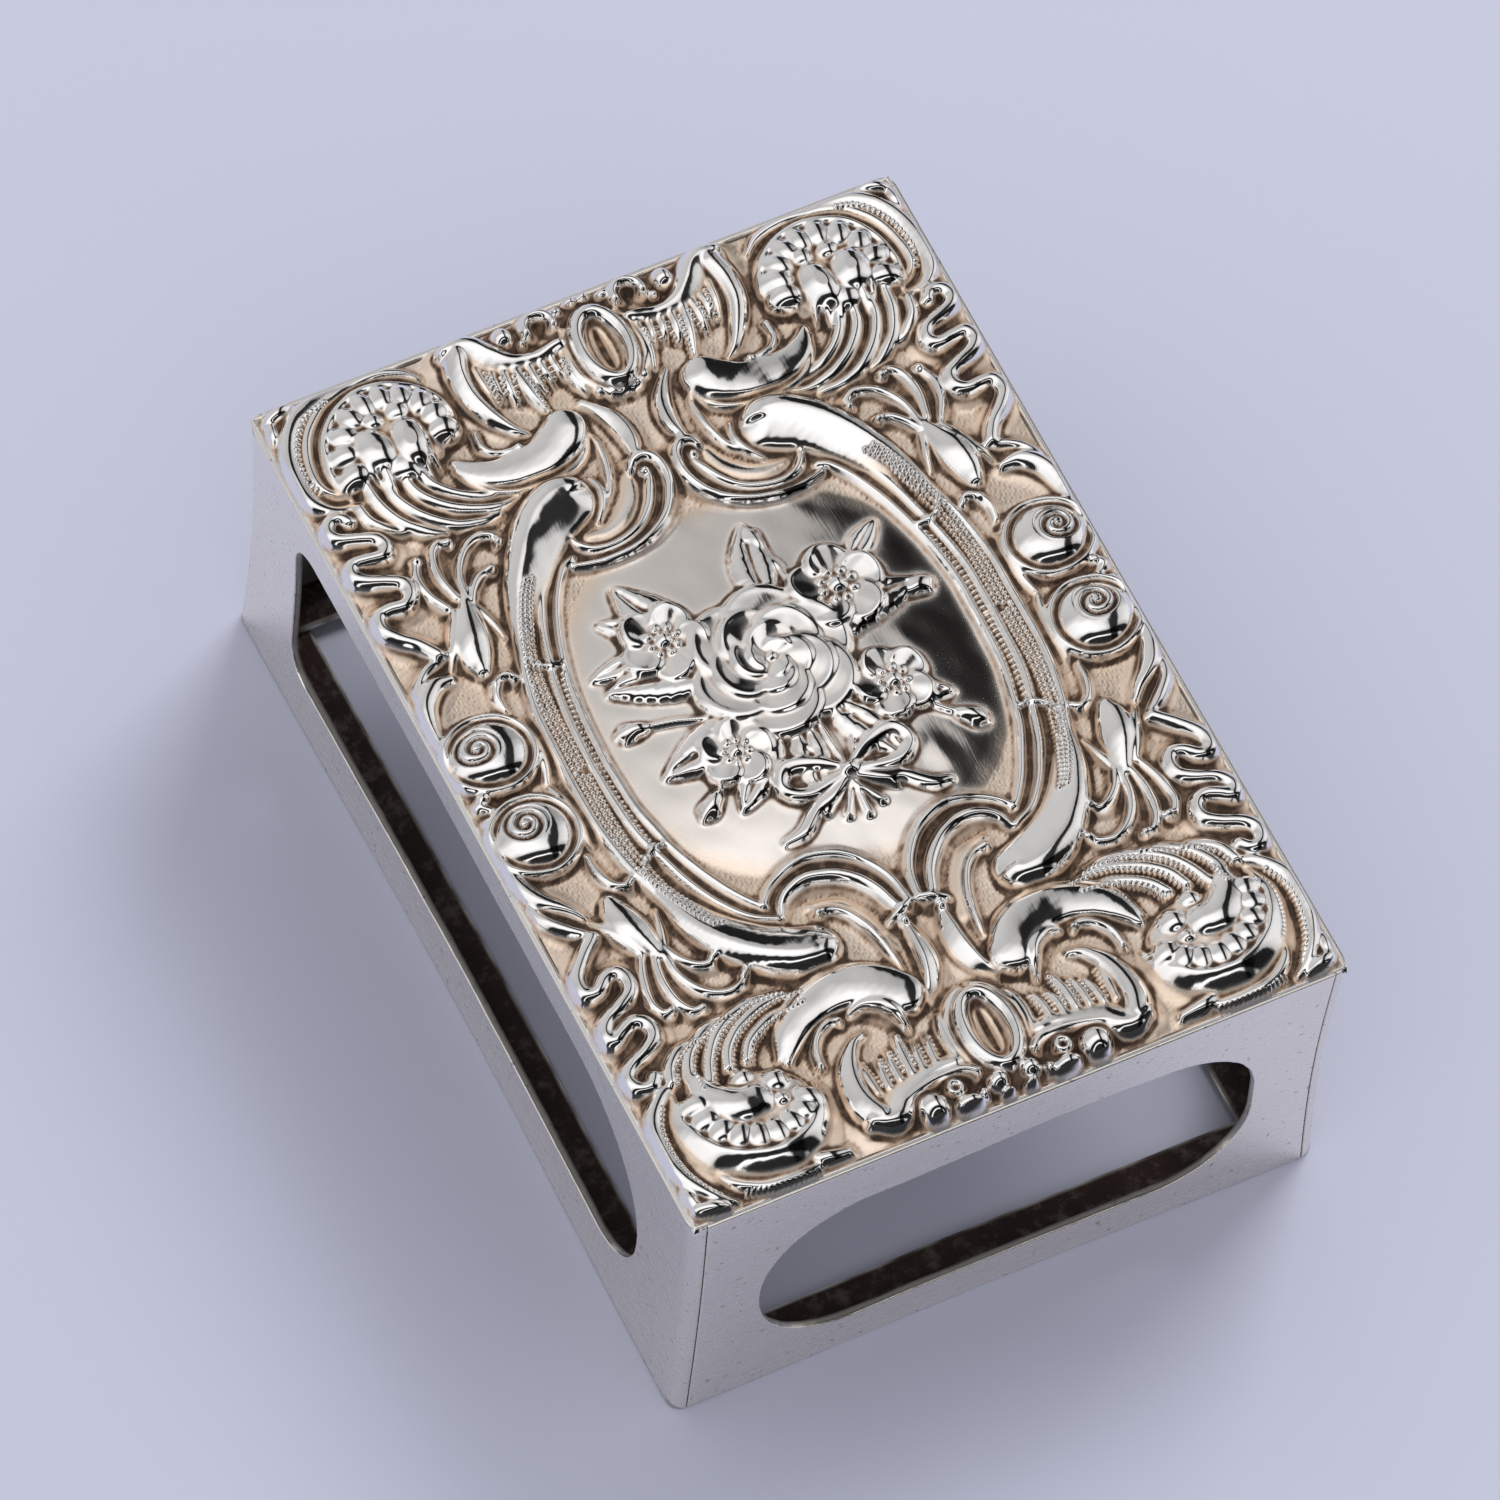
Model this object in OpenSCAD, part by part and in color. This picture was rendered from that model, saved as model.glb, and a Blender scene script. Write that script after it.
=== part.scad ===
// Silver holder that slips over a small box of matches. It stands on the feet turned in
// along the bottom of its four walls. The near end is at -Y, and the origin is on the
// table under the centre.

/* [Body] */
// Length over the end walls
body_len = 57; // [54:0.5:66]
// Width over the side walls
body_w = 40.3; // [38:0.1:48]
// Height of the walls, up to the rim of the top plate
body_h = 20.8; // [20:0.1:26]
// Thickness of the wall sheet
sheet_t = 0.5; // [0.4:0.05:0.7]
// Outer radius of the bends at the upright corners
corner_r = 0.9; // [0.8:0.05:1.4]

/* [Windows] */
// Length of the window in each side wall
side_win_len = 44.6; // [30:0.1:46]
// Height of the window in each side wall
side_win_h = 13.4; // [9:0.1:14.5]
// Height of the side window's lower edge above the table
side_win_lift = 4.1; // [2:0.1:5]
// Corner radius of the side window towards the near end
side_win_near_r = 6.3; // [2:0.1:7]
// Corner radius of the side window towards the far end
side_win_far_r = 3.2; // [2:0.1:7]
// Width of the window in each end wall
end_win_w = 30.7; // [24:0.1:31]
// Height of the window in each end wall
end_win_h = 13.6; // [9:0.1:15]
// Height of the end window's lower edge above the table
end_win_lift = 2.9; // [2:0.1:5]
// Corner radius of the end window
end_win_r = 6.4; // [3:0.1:7]

/* [Feet] */
// Width of the feet turned in along the bottom, from the outer face of the wall
foot_w = 3.2; // [3:0.1:4.5]
// How far the end feet lap over the side feet
foot_lap = 0.9; // [0.5:0.1:1.1]

/* [Top plate] */
// Thickness of the stamped sheet
plate_t = 0.5; // [0.4:0.05:0.7]
// Gap between the plate's edge and the walls, filled by the solder
plate_gap = 0.05; // [0.02:0.01:0.1]
// Flat border of the plate, before the relief rises
plate_rim = 0.6; // [0.5:0.05:0.8]
// Spacing of the points that the relief is drawn on
relief_step = 0.9; // [0.9:0.1:1.6]
// Rise of the oval medallion at its middle
medallion_h = 0.9; // [0.5:0.05:1.2]
// Half width of the oval medallion
medallion_rx = 11.0; // [9:0.1:11.2]
// Half length of the oval medallion
medallion_ry = 11.6; // [9:0.1:12]
// Rise of the middle blossom above the medallion
blossom_h = 1.15; // [0.5:0.05:1.3]
// Rise of the thick scrolls round the medallion
scroll_h = 1.5; // [0.8:0.05:1.6]
// Rise of the shells in the corners
shell_h = 1.5; // [0.8:0.05:1.6]
// Rise of the ring and wings at the middle of each end
crest_h = 1.3; // [0.8:0.05:1.5]
// Rise of the roundels and buds along the sides
border_h = 1.0; // [0.6:0.05:1.2]

/* [Solder] */
// Leg of the solder fillets in the upright corners
corner_leg = 1.5; // [1.2:0.1:1.7]
// Leg of the solder fillet under the rim of the top plate
rim_leg = 0.5; // [0.4:0.05:0.6]

/* [Hidden] */
$fn = 48;
inner_w = body_w - 2 * sheet_t;
inner_len = body_len - 2 * sheet_t;
inner_r = corner_r - sheet_t;
plate_w = inner_w - 2 * plate_gap;
plate_len = inner_len - 2 * plate_gap;
plate_under = body_h - plate_t;
// How far a cutting shape runs past the face that it cuts
over = 1;

// The bold forms of the relief. All but the bouquet are mirrored about the long axis, and are
// drawn for one side of it. A stroke is a rounded ridge along its points, and each point is
// [x, y, half width, share of the stroke's height]. Strokes that the two halves don't share
// end in _rear or _front. Here x and y are measured from the centre of the plate.
big_scroll = [
    [13.0, 0, 1.3, 0.45], [12.9, 4.5, 1.3, 0.45], [12.5, 7.6, 1.3, 0.5],
    [11.7, 10.3, 1.4, 0.7], [10.3, 12.8, 1.6, 0.9], [8.4, 14.9, 1.7, 1], [6.9, 15.8, 1.7, 1],
    [5.9, 15.9, 1.6, 0.9]
];
end_scroll_rear = [
    [7.2, 13.2, 1.0, 0.5], [6.0, 12.2, 1.0, 0.55], [4.6, 12.0, 1.0, 0.6], [3.2, 12.5, 1.0, 0.6],
    [2.0, 13.5, 1.0, 0.65], [1.2, 14.9, 1.0, 0.7], [1.1, 16.3, 1.0, 0.7], [1.3, 18.4, 0.9, 0.6],
    [1.7, 20.3, 0.9, 0.5], [2.4, 21.3, 0.6, 0.4]
];
end_scroll_front = [
    [7.3, 12.2, 1.0, 0.5], [6.2, 11.2, 1.0, 0.6], [4.7, 10.8, 1.0, 0.65], [3.2, 11.2, 1.0, 0.65],
    [1.9, 12.3, 1.0, 0.65], [1.1, 13.8, 1.0, 0.7], [0.9, 15.3, 1.0, 0.8], [0.9, 17.4, 0.9, 0.7],
    [1.2, 19.2, 0.9, 0.7], [1.9, 20.6, 0.6, 0.5]
];
stalk_front = [[5.1, 13.4, 0.8, 0.6], [3.8, 14.1, 0.7, 0.5], [2.9, 15.8, 0.7, 0.45], [2.6, 18, 0.6, 0.4]];

// Here x is measured from the centre line and y is the inset from the end of the body.
horn = [
    [10.6, 7.2, 1.0, 0.55], [9.9, 8.4, 1.3, 0.7], [8.6, 9.4, 1.4, 0.8], [7.0, 9.7, 1.4, 0.85],
    [5.4, 9.6, 1.5, 0.9], [4.1, 8.9, 1.6, 1], [3.5, 7.8, 1.3, 0.95]
];
wing_edge = [
    [6.6, 7.3, 0.8, 0.45], [7.8, 6.4, 0.9, 0.65], [8.5, 4.9, 1.0, 0.8], [8.6, 3.2, 1.1, 0.95],
    [7.8, 1.9, 1.1, 1], [6.5, 1.8, 1.0, 0.95], [5.6, 2.7, 1.0, 0.75], [4.3, 3.2, 1.0, 0.7],
    [2.8, 2.9, 1.0, 0.75]
];
wing_web = [[7.2, 3.8, 1.6, 0.45], [5.6, 4.3, 1.6, 0.45], [3.8, 4.6, 1.6, 0.45], [2.6, 4.8, 1.4, 0.5]];
crest_ring = [
    [0, 6.9, 1.0, 0.9], [1.0, 6.2, 1.0, 1], [1.4, 4.5, 1.0, 1], [1.0, 2.8, 1.0, 1],
    [0, 2.2, 1.0, 0.9]
];
berries = [[5.0, 1.7, 0.95], [3.1, 1.4, 0.9], [1.2, 1.4, 0.8]];

// Here x is the inset from the side of the body and y is the inset from its end.
shell_centre = [6.8, 5.2];
shell_r = 3.1;
shell_lip = [
    [3.1, 7.6, 0.8, 0.5], [2.7, 6.3, 0.9, 0.65], [2.8, 4.9, 1.0, 0.75], [3.5, 3.5, 1.1, 0.85],
    [4.8, 2.5, 1.1, 0.9], [6.5, 2.1, 1.1, 0.9], [8.4, 2.5, 1.1, 0.85], [9.6, 3.5, 1.0, 0.75],
    [10.2, 4.8, 0.8, 0.6]
];
outer_band = [
    [3.2, 8.4, 0.8, 0.4], [1.6, 7.4, 0.9, 0.5], [1.2, 5.6, 1.0, 0.55], [1.7, 3.2, 1.0, 0.55],
    [3.2, 1.7, 1.0, 0.55]
];
plumes = [
    [[3.3, 8.6, 0.8, 0.55], [4.1, 10.0, 0.8, 0.55], [5.8, 11.0, 0.7, 0.35]],
    [[4.9, 7.9, 0.9, 0.6], [5.5, 9.7, 0.9, 0.55], [7.4, 11.2, 0.9, 0.5], [9.9, 11.5, 0.7, 0.35]],
    [[6.8, 8.2, 0.9, 0.6], [7.8, 9.5, 0.9, 0.5], [9.6, 10.4, 0.9, 0.45], [11.3, 10.5, 0.7, 0.35]]
];

// Here x is the inset from the side of the body and y is measured from its centre.
roundel_centre = [3.0, 2.85];
roundel_r = 2.55;
bud = [[4.95, 8.2, 0.8, 0.7], [5.1, 9.8, 1.2, 1], [5.5, 11.3, 1.0, 0.9], [5.9, 12.6, 0.8, 0.7]];
stems = [
    [[5.0, 12.0, 0.7, 0.6], [4.3, 13.8, 0.7, 0.55], [4.4, 15.7, 0.8, 0.7]],
    [[5.6, 12.3, 0.7, 0.6], [5.4, 14.6, 0.7, 0.55], [6.3, 16.3, 0.8, 0.7]],
    [[6.1, 12.4, 0.7, 0.6], [7.0, 15.1, 0.7, 0.55], [8.9, 15.7, 0.8, 0.7]]
];
comma = [[2.9, 8.2, 0.8, 0.6], [1.7, 7.5, 0.9, 0.85], [1.2, 5.6, 0.8, 0.8], [1.1, 3.6, 0.7, 0.5]];
ribbon_rear = [
    [3.1, 9.8, 0.8, 0.8], [2.2, 11.1, 0.8, 0.9], [1.3, 12.7, 0.8, 0.9], [1.9, 13.5, 0.8, 0.9],
    [3.3, 14.0, 0.8, 0.9], [2.9, 15.1, 0.8, 0.9], [1.4, 15.7, 0.8, 0.9], [1.5, 16.8, 0.8, 0.9],
    [3.2, 16.9, 0.8, 0.9], [3.0, 18.1, 0.8, 0.9], [1.4, 18.8, 0.8, 0.9], [2.0, 19.9, 0.8, 0.9]
];
ribbon_front = [
    [3.0, 9.8, 0.8, 0.8], [1.6, 11.4, 0.8, 0.9], [1.3, 12.9, 0.8, 0.9], [2.6, 12.6, 0.8, 0.9],
    [3.4, 13.4, 0.8, 0.9], [2.5, 14.5, 0.8, 0.9], [1.3, 15.5, 0.8, 0.9], [2.3, 16.0, 0.8, 0.9],
    [3.4, 16.3, 0.8, 0.9], [2.6, 17.6, 0.8, 0.9], [1.4, 18.6, 0.8, 0.9], [2.1, 19.5, 0.8, 0.9]
];

// The bouquet on the medallion isn't mirrored. Blossoms are [x, y, radius, share of the height],
// and each leaf runs from its stalk to its tip, [x, y] and [x, y].
medallion_lift = 0.7;
blossoms = [
    [-0.6, 1.7, 4.3, 0.75], [-0.6, 1.7, 2.7, 1], [4.9, 4.5, 2.4, 0.8], [-5.6, 5.3, 2.1, 0.75],
    [4.7, -2.1, 2.0, 0.75], [-4.9, -2.6, 1.8, 0.7], [0.3, -6.2, 1.0, 0.9],
    [2.1, 9.2, 1.0, 0.6], [-9.1, 1.0, 1.0, 0.6], [9.0, 3.0, 1.0, 0.6]
];
leaves = [
    [[-3.4, 4.2], [-6.4, 10.0]], [[-3.8, 2.2], [-9.6, 3.8]], [[-3.4, -0.2], [-9.2, -2.3]],
    [[-2.3, -1.6], [-6.4, -6.2]], [[1.2, 5.0], [2.0, 10.6]], [[2.9, 2.0], [9.4, 3.4]],
    [[2.4, -0.8], [8.1, -3.9]], [[1.0, -1.8], [3.5, -6.6]], [[-0.9, -2.0], [-1.7, -7.4]],
    [[6.3, 5.9], [9.1, 8.1]], [[-5.2, 6.4], [-8.3, 8.2]]
];
bow_loop = [
    [0.3, 0, 0.7, 0.6], [2.0, 1.0, 0.8, 0.75], [3.5, 1.1, 0.9, 0.8], [3.8, 0.2, 0.8, 0.75],
    [2.5, -0.5, 0.8, 0.7], [0.3, 0, 0.7, 0.6]
];
bow_tail = [[0.3, -0.2, 0.7, 0.6], [1.8, -1.2, 0.8, 0.6], [3.2, -1.8, 0.8, 0.5], [4.8, -2.6, 0.7, 0.45]];
bow_centre = [0.3, -6.2];

// Points of a smooth curve through every point of a stroke, three to a span
function spline(q, n = 3) = [
    for (i = [0 : len(q) - 2], k = [0 : n - 1])
        let (
            a = q[max(i - 1, 0)],
            b = q[i],
            c = q[i + 1],
            d = q[min(i + 2, len(q) - 1)],
            t = k / n
        )
        0.5 * (2 * b + (c - a) * t + (2 * a - 5 * b + 4 * c - d) * t * t
            + (3 * b - 3 * c + d - a) * t * t * t),
    q[len(q) - 1]
];

// Strokes moved to their anchors, so that they follow the body when its size changes
function from_end(q) = [for (p = q) [p[0], body_len / 2 - p[1], p[2], p[3]]];
function from_corner(q) = [for (p = q) [body_w / 2 - p[0], body_len / 2 - p[1], p[2], p[3]]];
function from_side(q) = [for (p = q) [body_w / 2 - p[0], p[1], p[2], p[3]]];

// Strokes that both halves share, each with its height
shared_strokes = concat(
    [
        [scroll_h, spline(big_scroll)],
        [border_h, spline(from_side(bud))],
        [border_h, spline(from_side(comma))],
        [crest_h, spline(from_end(horn))],
        [crest_h, spline(from_end(wing_edge))],
        [crest_h, spline(from_end(wing_web))],
        [crest_h, spline(from_end(crest_ring))],
        [shell_h, spline(from_corner(shell_lip))],
        [shell_h, spline(from_corner(outer_band))]
    ],
    [for (q = plumes) [shell_h, spline(from_corner(q))]],
    [for (q = stems) [border_h, spline(from_side(q))]]
);
rear_strokes = [[scroll_h, spline(end_scroll_rear)], [border_h, spline(from_side(ribbon_rear))]];
front_strokes = [
    [scroll_h, spline(end_scroll_front)],
    [scroll_h, spline(stalk_front)],
    [border_h, spline(from_side(ribbon_front))]
];

// All round swellings of a quarter: [x, y, radius, height]
domes = concat(
    [
        [body_w / 2 - shell_centre.x, body_len / 2 - shell_centre.y, shell_r, shell_h],
        [body_w / 2 - roundel_centre.x, roundel_centre.y, roundel_r, border_h]
    ],
    [for (b = berries) [b[0], body_len / 2 - b[1], b[2], crest_h]]
);

// Leaves and ribbon of the bouquet as strokes. A leaf is widest a little below its middle.
picture_strokes = [
    for (q = concat(
        [
            for (leaf = leaves)
                [[each leaf[0], 0.6, 0.5], [each (leaf[0] * 0.55 + leaf[1] * 0.45), 1.35, 0.65],
                    [each leaf[1], 0.5, 0.45]]
        ],
        [
            for (q = [bow_loop, bow_tail], side = [-1, 1])
                [for (p = q)
                    [bow_centre.x + side * (p[0] - bow_centre.x), bow_centre.y + p[1], p[2], p[3]]]
        ]
    )) [blossom_h, spline(q)]
];

// Height of one stretch of a stroke over the point p: a rounded ridge
function ridge(p, a, b) =
    let (
        along = [b[0] - a[0], b[1] - a[1]],
        away = [p[0] - a[0], p[1] - a[1]],
        t = min(1, max(0, (away * along) / max(along * along, 0.0001))),
        half = a[2] + (b[2] - a[2]) * t,
        d = norm(away - along * t) / half
    )
    d >= 1 ? 0 : (a[3] + (b[3] - a[3]) * t) * (1 - d * d);

function stroke_height(p, s) =
    s[0] * max([for (i = [0 : len(s[1]) - 2]) ridge(p, s[1][i], s[1][i + 1])]);

// Height of a round swelling over the point p
function dome(p, c, r, h) =
    let (d = norm([p[0] - c[0], p[1] - c[1]]) / r)
    d >= 1 ? 0 : h * sqrt(1 - d * d);

// Height of the medallion with its bouquet over the point p: a level-topped swelling
function medallion(p) =
    let (
        d = pow(abs(p[0]) / medallion_rx, 2.7) + pow(abs(p[1] - medallion_lift) / medallion_ry, 3)
    )
    d >= 1 ? 0 : medallion_h * pow(1 - d, 0.55)
        + max(
            max([for (b = blossoms) dome(p, b, b[2], b[3] * blossom_h)]),
            max([for (s = picture_strokes) stroke_height(p, s)])
        );

// The relief fades out over the flat border, so that the plate ends in a straight rim.
function rim_fade(p) =
    let (inset = min(plate_w / 2 - p[0], plate_len / 2 - p[1]) - plate_rim)
    min(1, max(0, inset / plate_rim));

// Height of the whole relief over a point anywhere on the plate
function relief(x, y) =
    let (p = [abs(x), abs(y)])
    rim_fade(p) * max(
        medallion([x, y]),
        max([for (s = shared_strokes) stroke_height(p, s)]),
        max([for (s = y > 0 ? rear_strokes : front_strokes) stroke_height(p, s)]),
        max([for (d = domes) dome(p, d, d[2], d[3])])
    );

// Heights eased into their neighbours, as sheet metal draws over a die. The rim stays flat.
function eased(h) = [
    for (j = [0 : len(h) - 1]) [
        for (i = [0 : len(h[j]) - 1])
            i == 0 || j == 0 || i == len(h[j]) - 1 || j == len(h) - 1
                ? 0
                : h[j][i] * 0.6
                    + (h[j][i - 1] + h[j][i + 1] + h[j - 1][i] + h[j + 1][i]) * 0.07
                    + (h[j - 1][i - 1] + h[j - 1][i + 1] + h[j + 1][i - 1] + h[j + 1][i + 1]) * 0.03
    ]
];

// Grid lines across a plate of the given length, with the flat border as the first cell
function grid_lines(length) =
    let (
        inside = length - 2 * plate_rim,
        n = 2 * round(inside / relief_step / 2)
    )
    concat(
        [-length / 2],
        [for (i = [0 : n]) -inside / 2 + inside * i / n],
        [length / 2]
    );

// Plan of the body with rounded upright corners
module plan(w, length, r) {
    for (side = [-1, 1])
        for (end = [-1, 1])
            translate([side * (w / 2 - r), end * (length / 2 - r)]) circle(r = r);
    square([w - 2 * r, length], center = true);
    square([w, length - 2 * r], center = true);
}

// Half of a window outline that stands on the origin, towards +x. The corner radius
// stays just under half the height.
module half_window(length, height, r) {
    end_r = min(r, height / 2 - 0.1);
    square([length / 2 - end_r, height]);
    translate([0, end_r]) square([length / 2, height - 2 * end_r]);
    for (z = [end_r, height - end_r])
        translate([length / 2 - end_r, z]) circle(r = end_r);
}

// Window outline that stands on the origin, with its near end at -x
module window_outline(length, height, near_r, far_r) {
    half_window(length, height, far_r);
    mirror([1, 0]) half_window(length, height, near_r);
}

// A side wall with its foot, on the -X side: the sheet runs round both upright corners.
module side_wall() {
    difference() {
        union() {
            linear_extrude(body_h) intersection() {
                difference() {
                    plan(body_w, body_len, corner_r);
                    plan(inner_w, inner_len, inner_r);
                }
                translate([-body_w / 2, -body_len / 2]) square([corner_r, body_len]);
            }
            linear_extrude(sheet_t) intersection() {
                plan(body_w, body_len, corner_r);
                translate([-body_w / 2, -body_len / 2]) square([corner_r, body_len]);
            }
            translate([-body_w / 2 + corner_r, -inner_len / 2, 0])
                cube([foot_w - corner_r, inner_len, sheet_t]);
        }
        translate([-body_w / 2 - over, 0, side_win_lift])
            rotate([90, 0, 90]) linear_extrude(sheet_t + 2 * over)
                window_outline(side_win_len, side_win_h, side_win_near_r, side_win_far_r);
    }
}

// An end wall with its foot, on the -Y end: it is let in between the bends of the side
// walls, and the ends of its foot step up and lap over the side feet.
module end_wall() {
    foot_half = body_w / 2 - foot_w;
    difference() {
        union() {
            translate([-body_w / 2 + corner_r, -body_len / 2, 0])
                cube([body_w - 2 * corner_r, sheet_t, body_h]);
            translate([-foot_half, -body_len / 2 + sheet_t / 2, 0])
                cube([2 * foot_half, foot_w - sheet_t / 2, sheet_t]);
            translate([-foot_half - foot_lap, -body_len / 2 + sheet_t / 2, sheet_t])
                cube([2 * (foot_half + foot_lap), foot_w - sheet_t / 2, sheet_t]);
        }
        translate([0, -body_len / 2 + sheet_t + over, end_win_lift])
            rotate([90, 0, 0]) linear_extrude(sheet_t + 2 * over)
                window_outline(end_win_w, end_win_h, end_win_r, end_win_r);
    }
}

module side_wall_left() {
    color([0.78, 0.78, 0.78]) side_wall();
}

module side_wall_right() {
    color([0.78, 0.78, 0.78]) mirror([1, 0, 0]) side_wall();
}

module end_wall_front() {
    color([0.74, 0.74, 0.75]) end_wall();
}

module end_wall_rear() {
    color([0.74, 0.74, 0.75]) mirror([0, 1, 0]) end_wall();
}

// Stamped sheet of even thickness: the upper face carries the relief, the lower face is
// its hollow reverse, and a wall of triangles joins the two round the rim.
module top_plate() {
    xs = grid_lines(plate_w);
    ys = grid_lines(plate_len);
    nx = len(xs);
    ny = len(ys);
    heights = eased([for (y = ys) [for (x = xs) relief(x, y)]]);
    top = [for (j = [0 : ny - 1], i = [0 : nx - 1]) [xs[i], ys[j], body_h + heights[j][i]]];
    under = [for (p = top) [p[0], p[1], p[2] - plate_t]];
    low = nx * ny;
    // Each cell is split along its more level diagonal, so that the crests stay unbroken.
    cells = [
        for (j = [0 : ny - 2], i = [0 : nx - 2])
            let (a = j * nx + i, b = a + 1, c = a + nx, d = c + 1)
            abs(top[a][2] - top[d][2]) < abs(top[b][2] - top[c][2])
                ? [[a, d, b], [a, c, d]]
                : [[a, c, b], [b, c, d]]
    ];
    upper_faces = [for (cell = cells, face = cell) face];
    lower_faces = [for (face = upper_faces) [face[0] + low, face[2] + low, face[1] + low]];
    rim = concat(
        [for (i = [0 : nx - 2]) i],
        [for (j = [0 : ny - 2]) j * nx + nx - 1],
        [for (i = [nx - 1 : -1 : 1]) (ny - 1) * nx + i],
        [for (j = [ny - 1 : -1 : 1]) j * nx]
    );
    rim_faces = [
        for (k = [0 : len(rim) - 1])
            let (a = rim[k], b = rim[(k + 1) % len(rim)])
            for (face = [[a, b, b + low], [a, b + low, a + low]]) face
    ];
    color([0.86, 0.8, 0.72])
        polyhedron(points = concat(top, under), faces = concat(upper_faces, lower_faces, rim_faces));
}

// Solder that fills the four upright corners from the feet up to the rim solder
module corner_solder() {
    color([0.3, 0.27, 0.25])
        translate([0, 0, sheet_t]) linear_extrude(plate_under - rim_leg - sheet_t)
            for (side = [-1, 1]) for (end = [-1, 1])
                scale([side, end]) difference() {
                    intersection() {
                        plan(inner_w, inner_len, inner_r);
                        translate([inner_w / 2 - corner_leg, inner_len / 2 - corner_leg])
                            square(corner_leg);
                    }
                    translate([inner_w / 2 - corner_leg, inner_len / 2 - corner_leg])
                        circle(r = corner_leg);
                }
}

// Solder fillet all round under the rim of the plate, with a sloping face
module rim_solder() {
    profile = [[0, 0], [rim_leg, 0], [0, -rim_leg]];
    color([0.3, 0.27, 0.25]) intersection() {
        union() {
            for (side = [0, 1]) mirror([side, 0, 0])
                translate([-inner_w / 2, inner_len / 2, plate_under])
                    rotate([90, 0, 0]) linear_extrude(inner_len) polygon(profile);
            for (end = [0, 1]) mirror([0, end, 0])
                translate([-inner_w / 2, -inner_len / 2, plate_under])
                    rotate([90, 0, 90]) linear_extrude(inner_w) polygon(profile);
        }
        translate([0, 0, plate_under - 2 * rim_leg]) linear_extrude(2 * rim_leg)
            plan(inner_w, inner_len, inner_r);
    }
}

top_plate();
side_wall_left();
side_wall_right();
end_wall_front();
end_wall_rear();
corner_solder();
rim_solder();
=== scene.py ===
"""Silver matchbox holder: a die-stamped top plate let into four thin walls with cut windows."""
import math

import bpy
import numpy as np
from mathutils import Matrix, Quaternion, Vector


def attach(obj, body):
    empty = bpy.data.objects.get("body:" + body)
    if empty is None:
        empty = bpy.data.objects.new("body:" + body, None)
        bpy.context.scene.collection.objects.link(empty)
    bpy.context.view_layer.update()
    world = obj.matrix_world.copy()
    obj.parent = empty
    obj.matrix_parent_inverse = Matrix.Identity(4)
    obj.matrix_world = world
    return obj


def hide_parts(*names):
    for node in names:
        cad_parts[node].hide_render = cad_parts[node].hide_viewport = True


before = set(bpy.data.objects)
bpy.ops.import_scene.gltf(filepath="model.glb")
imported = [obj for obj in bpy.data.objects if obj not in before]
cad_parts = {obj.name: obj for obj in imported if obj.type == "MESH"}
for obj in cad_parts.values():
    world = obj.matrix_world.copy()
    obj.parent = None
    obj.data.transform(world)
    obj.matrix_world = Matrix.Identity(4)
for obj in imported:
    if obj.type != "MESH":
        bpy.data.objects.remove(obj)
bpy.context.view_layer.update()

# Side walls
# Each long wall is one piece of silver sheet half a millimetre thick, bent round the upright
# corners. Its window was sawn and filed by hand. All measures below are in millimetres.

BODY_W, BODY_L, WALL_H = 40.3, 57.0, 20.8
SHEET = 0.5
CORNER_R = 0.9


def waves(x, y, size, seed):
    """Smooth wandering value within -1 to 1: mean of six sines in turned directions, near size long."""
    rng = np.random.default_rng(seed)
    total = np.zeros(np.broadcast(x, y).shape)
    for _ in range(6):
        turn, rate, start = rng.uniform(0, 6.283), rng.uniform(0.6, 1.7), rng.uniform(0, 6.283)
        total = total + np.sin(6.283 * rate / size * (x * math.cos(turn) + y * math.sin(turn)) + start)
    return total / 6


def grid_faces(rows, cols, close_rows=False, close_cols=False):
    """Four-cornered faces between neighbours of a grid of points that is numbered row by row."""
    i, j = np.meshgrid(np.arange(rows if close_rows else rows - 1),
                       np.arange(cols if close_cols else cols - 1), indexing="ij")
    i2, j2 = (i + 1) % rows, (j + 1) % cols
    return np.stack([i * cols + j, i * cols + j2, i2 * cols + j2, i2 * cols + j], -1).reshape(-1, 4)


def make_piece(name, points, faces, material, nodes=(), caps=(), closed=True):
    """One mesh piece from points in millimetres. A closed one is turned so that its faces look outward."""
    flat = np.asarray(points, float).reshape(-1, 3)
    a, b, c, d = (flat[faces[:, k]] for k in range(4))
    volume = np.einsum("ij,ij->i", a, np.cross(b, c) + np.cross(c, d)).sum()
    inside_out = closed and volume < 0
    if inside_out:
        faces = faces[:, ::-1]
    caps = [list(cap)[::-1] if inside_out else list(cap) for cap in caps]
    mesh = bpy.data.meshes.new(name)
    mesh.from_pydata((flat * 0.001).tolist(), [], faces.tolist() + caps)
    mesh.polygons.foreach_set("use_smooth", np.ones(len(mesh.polygons), bool))
    mesh.materials.append(material)
    mesh.update()
    piece = bpy.data.objects.new(name, mesh)
    bpy.context.collection.objects.link(piece)
    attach(piece, "root")
    if nodes:
        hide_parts(*nodes)
    return piece


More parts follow.
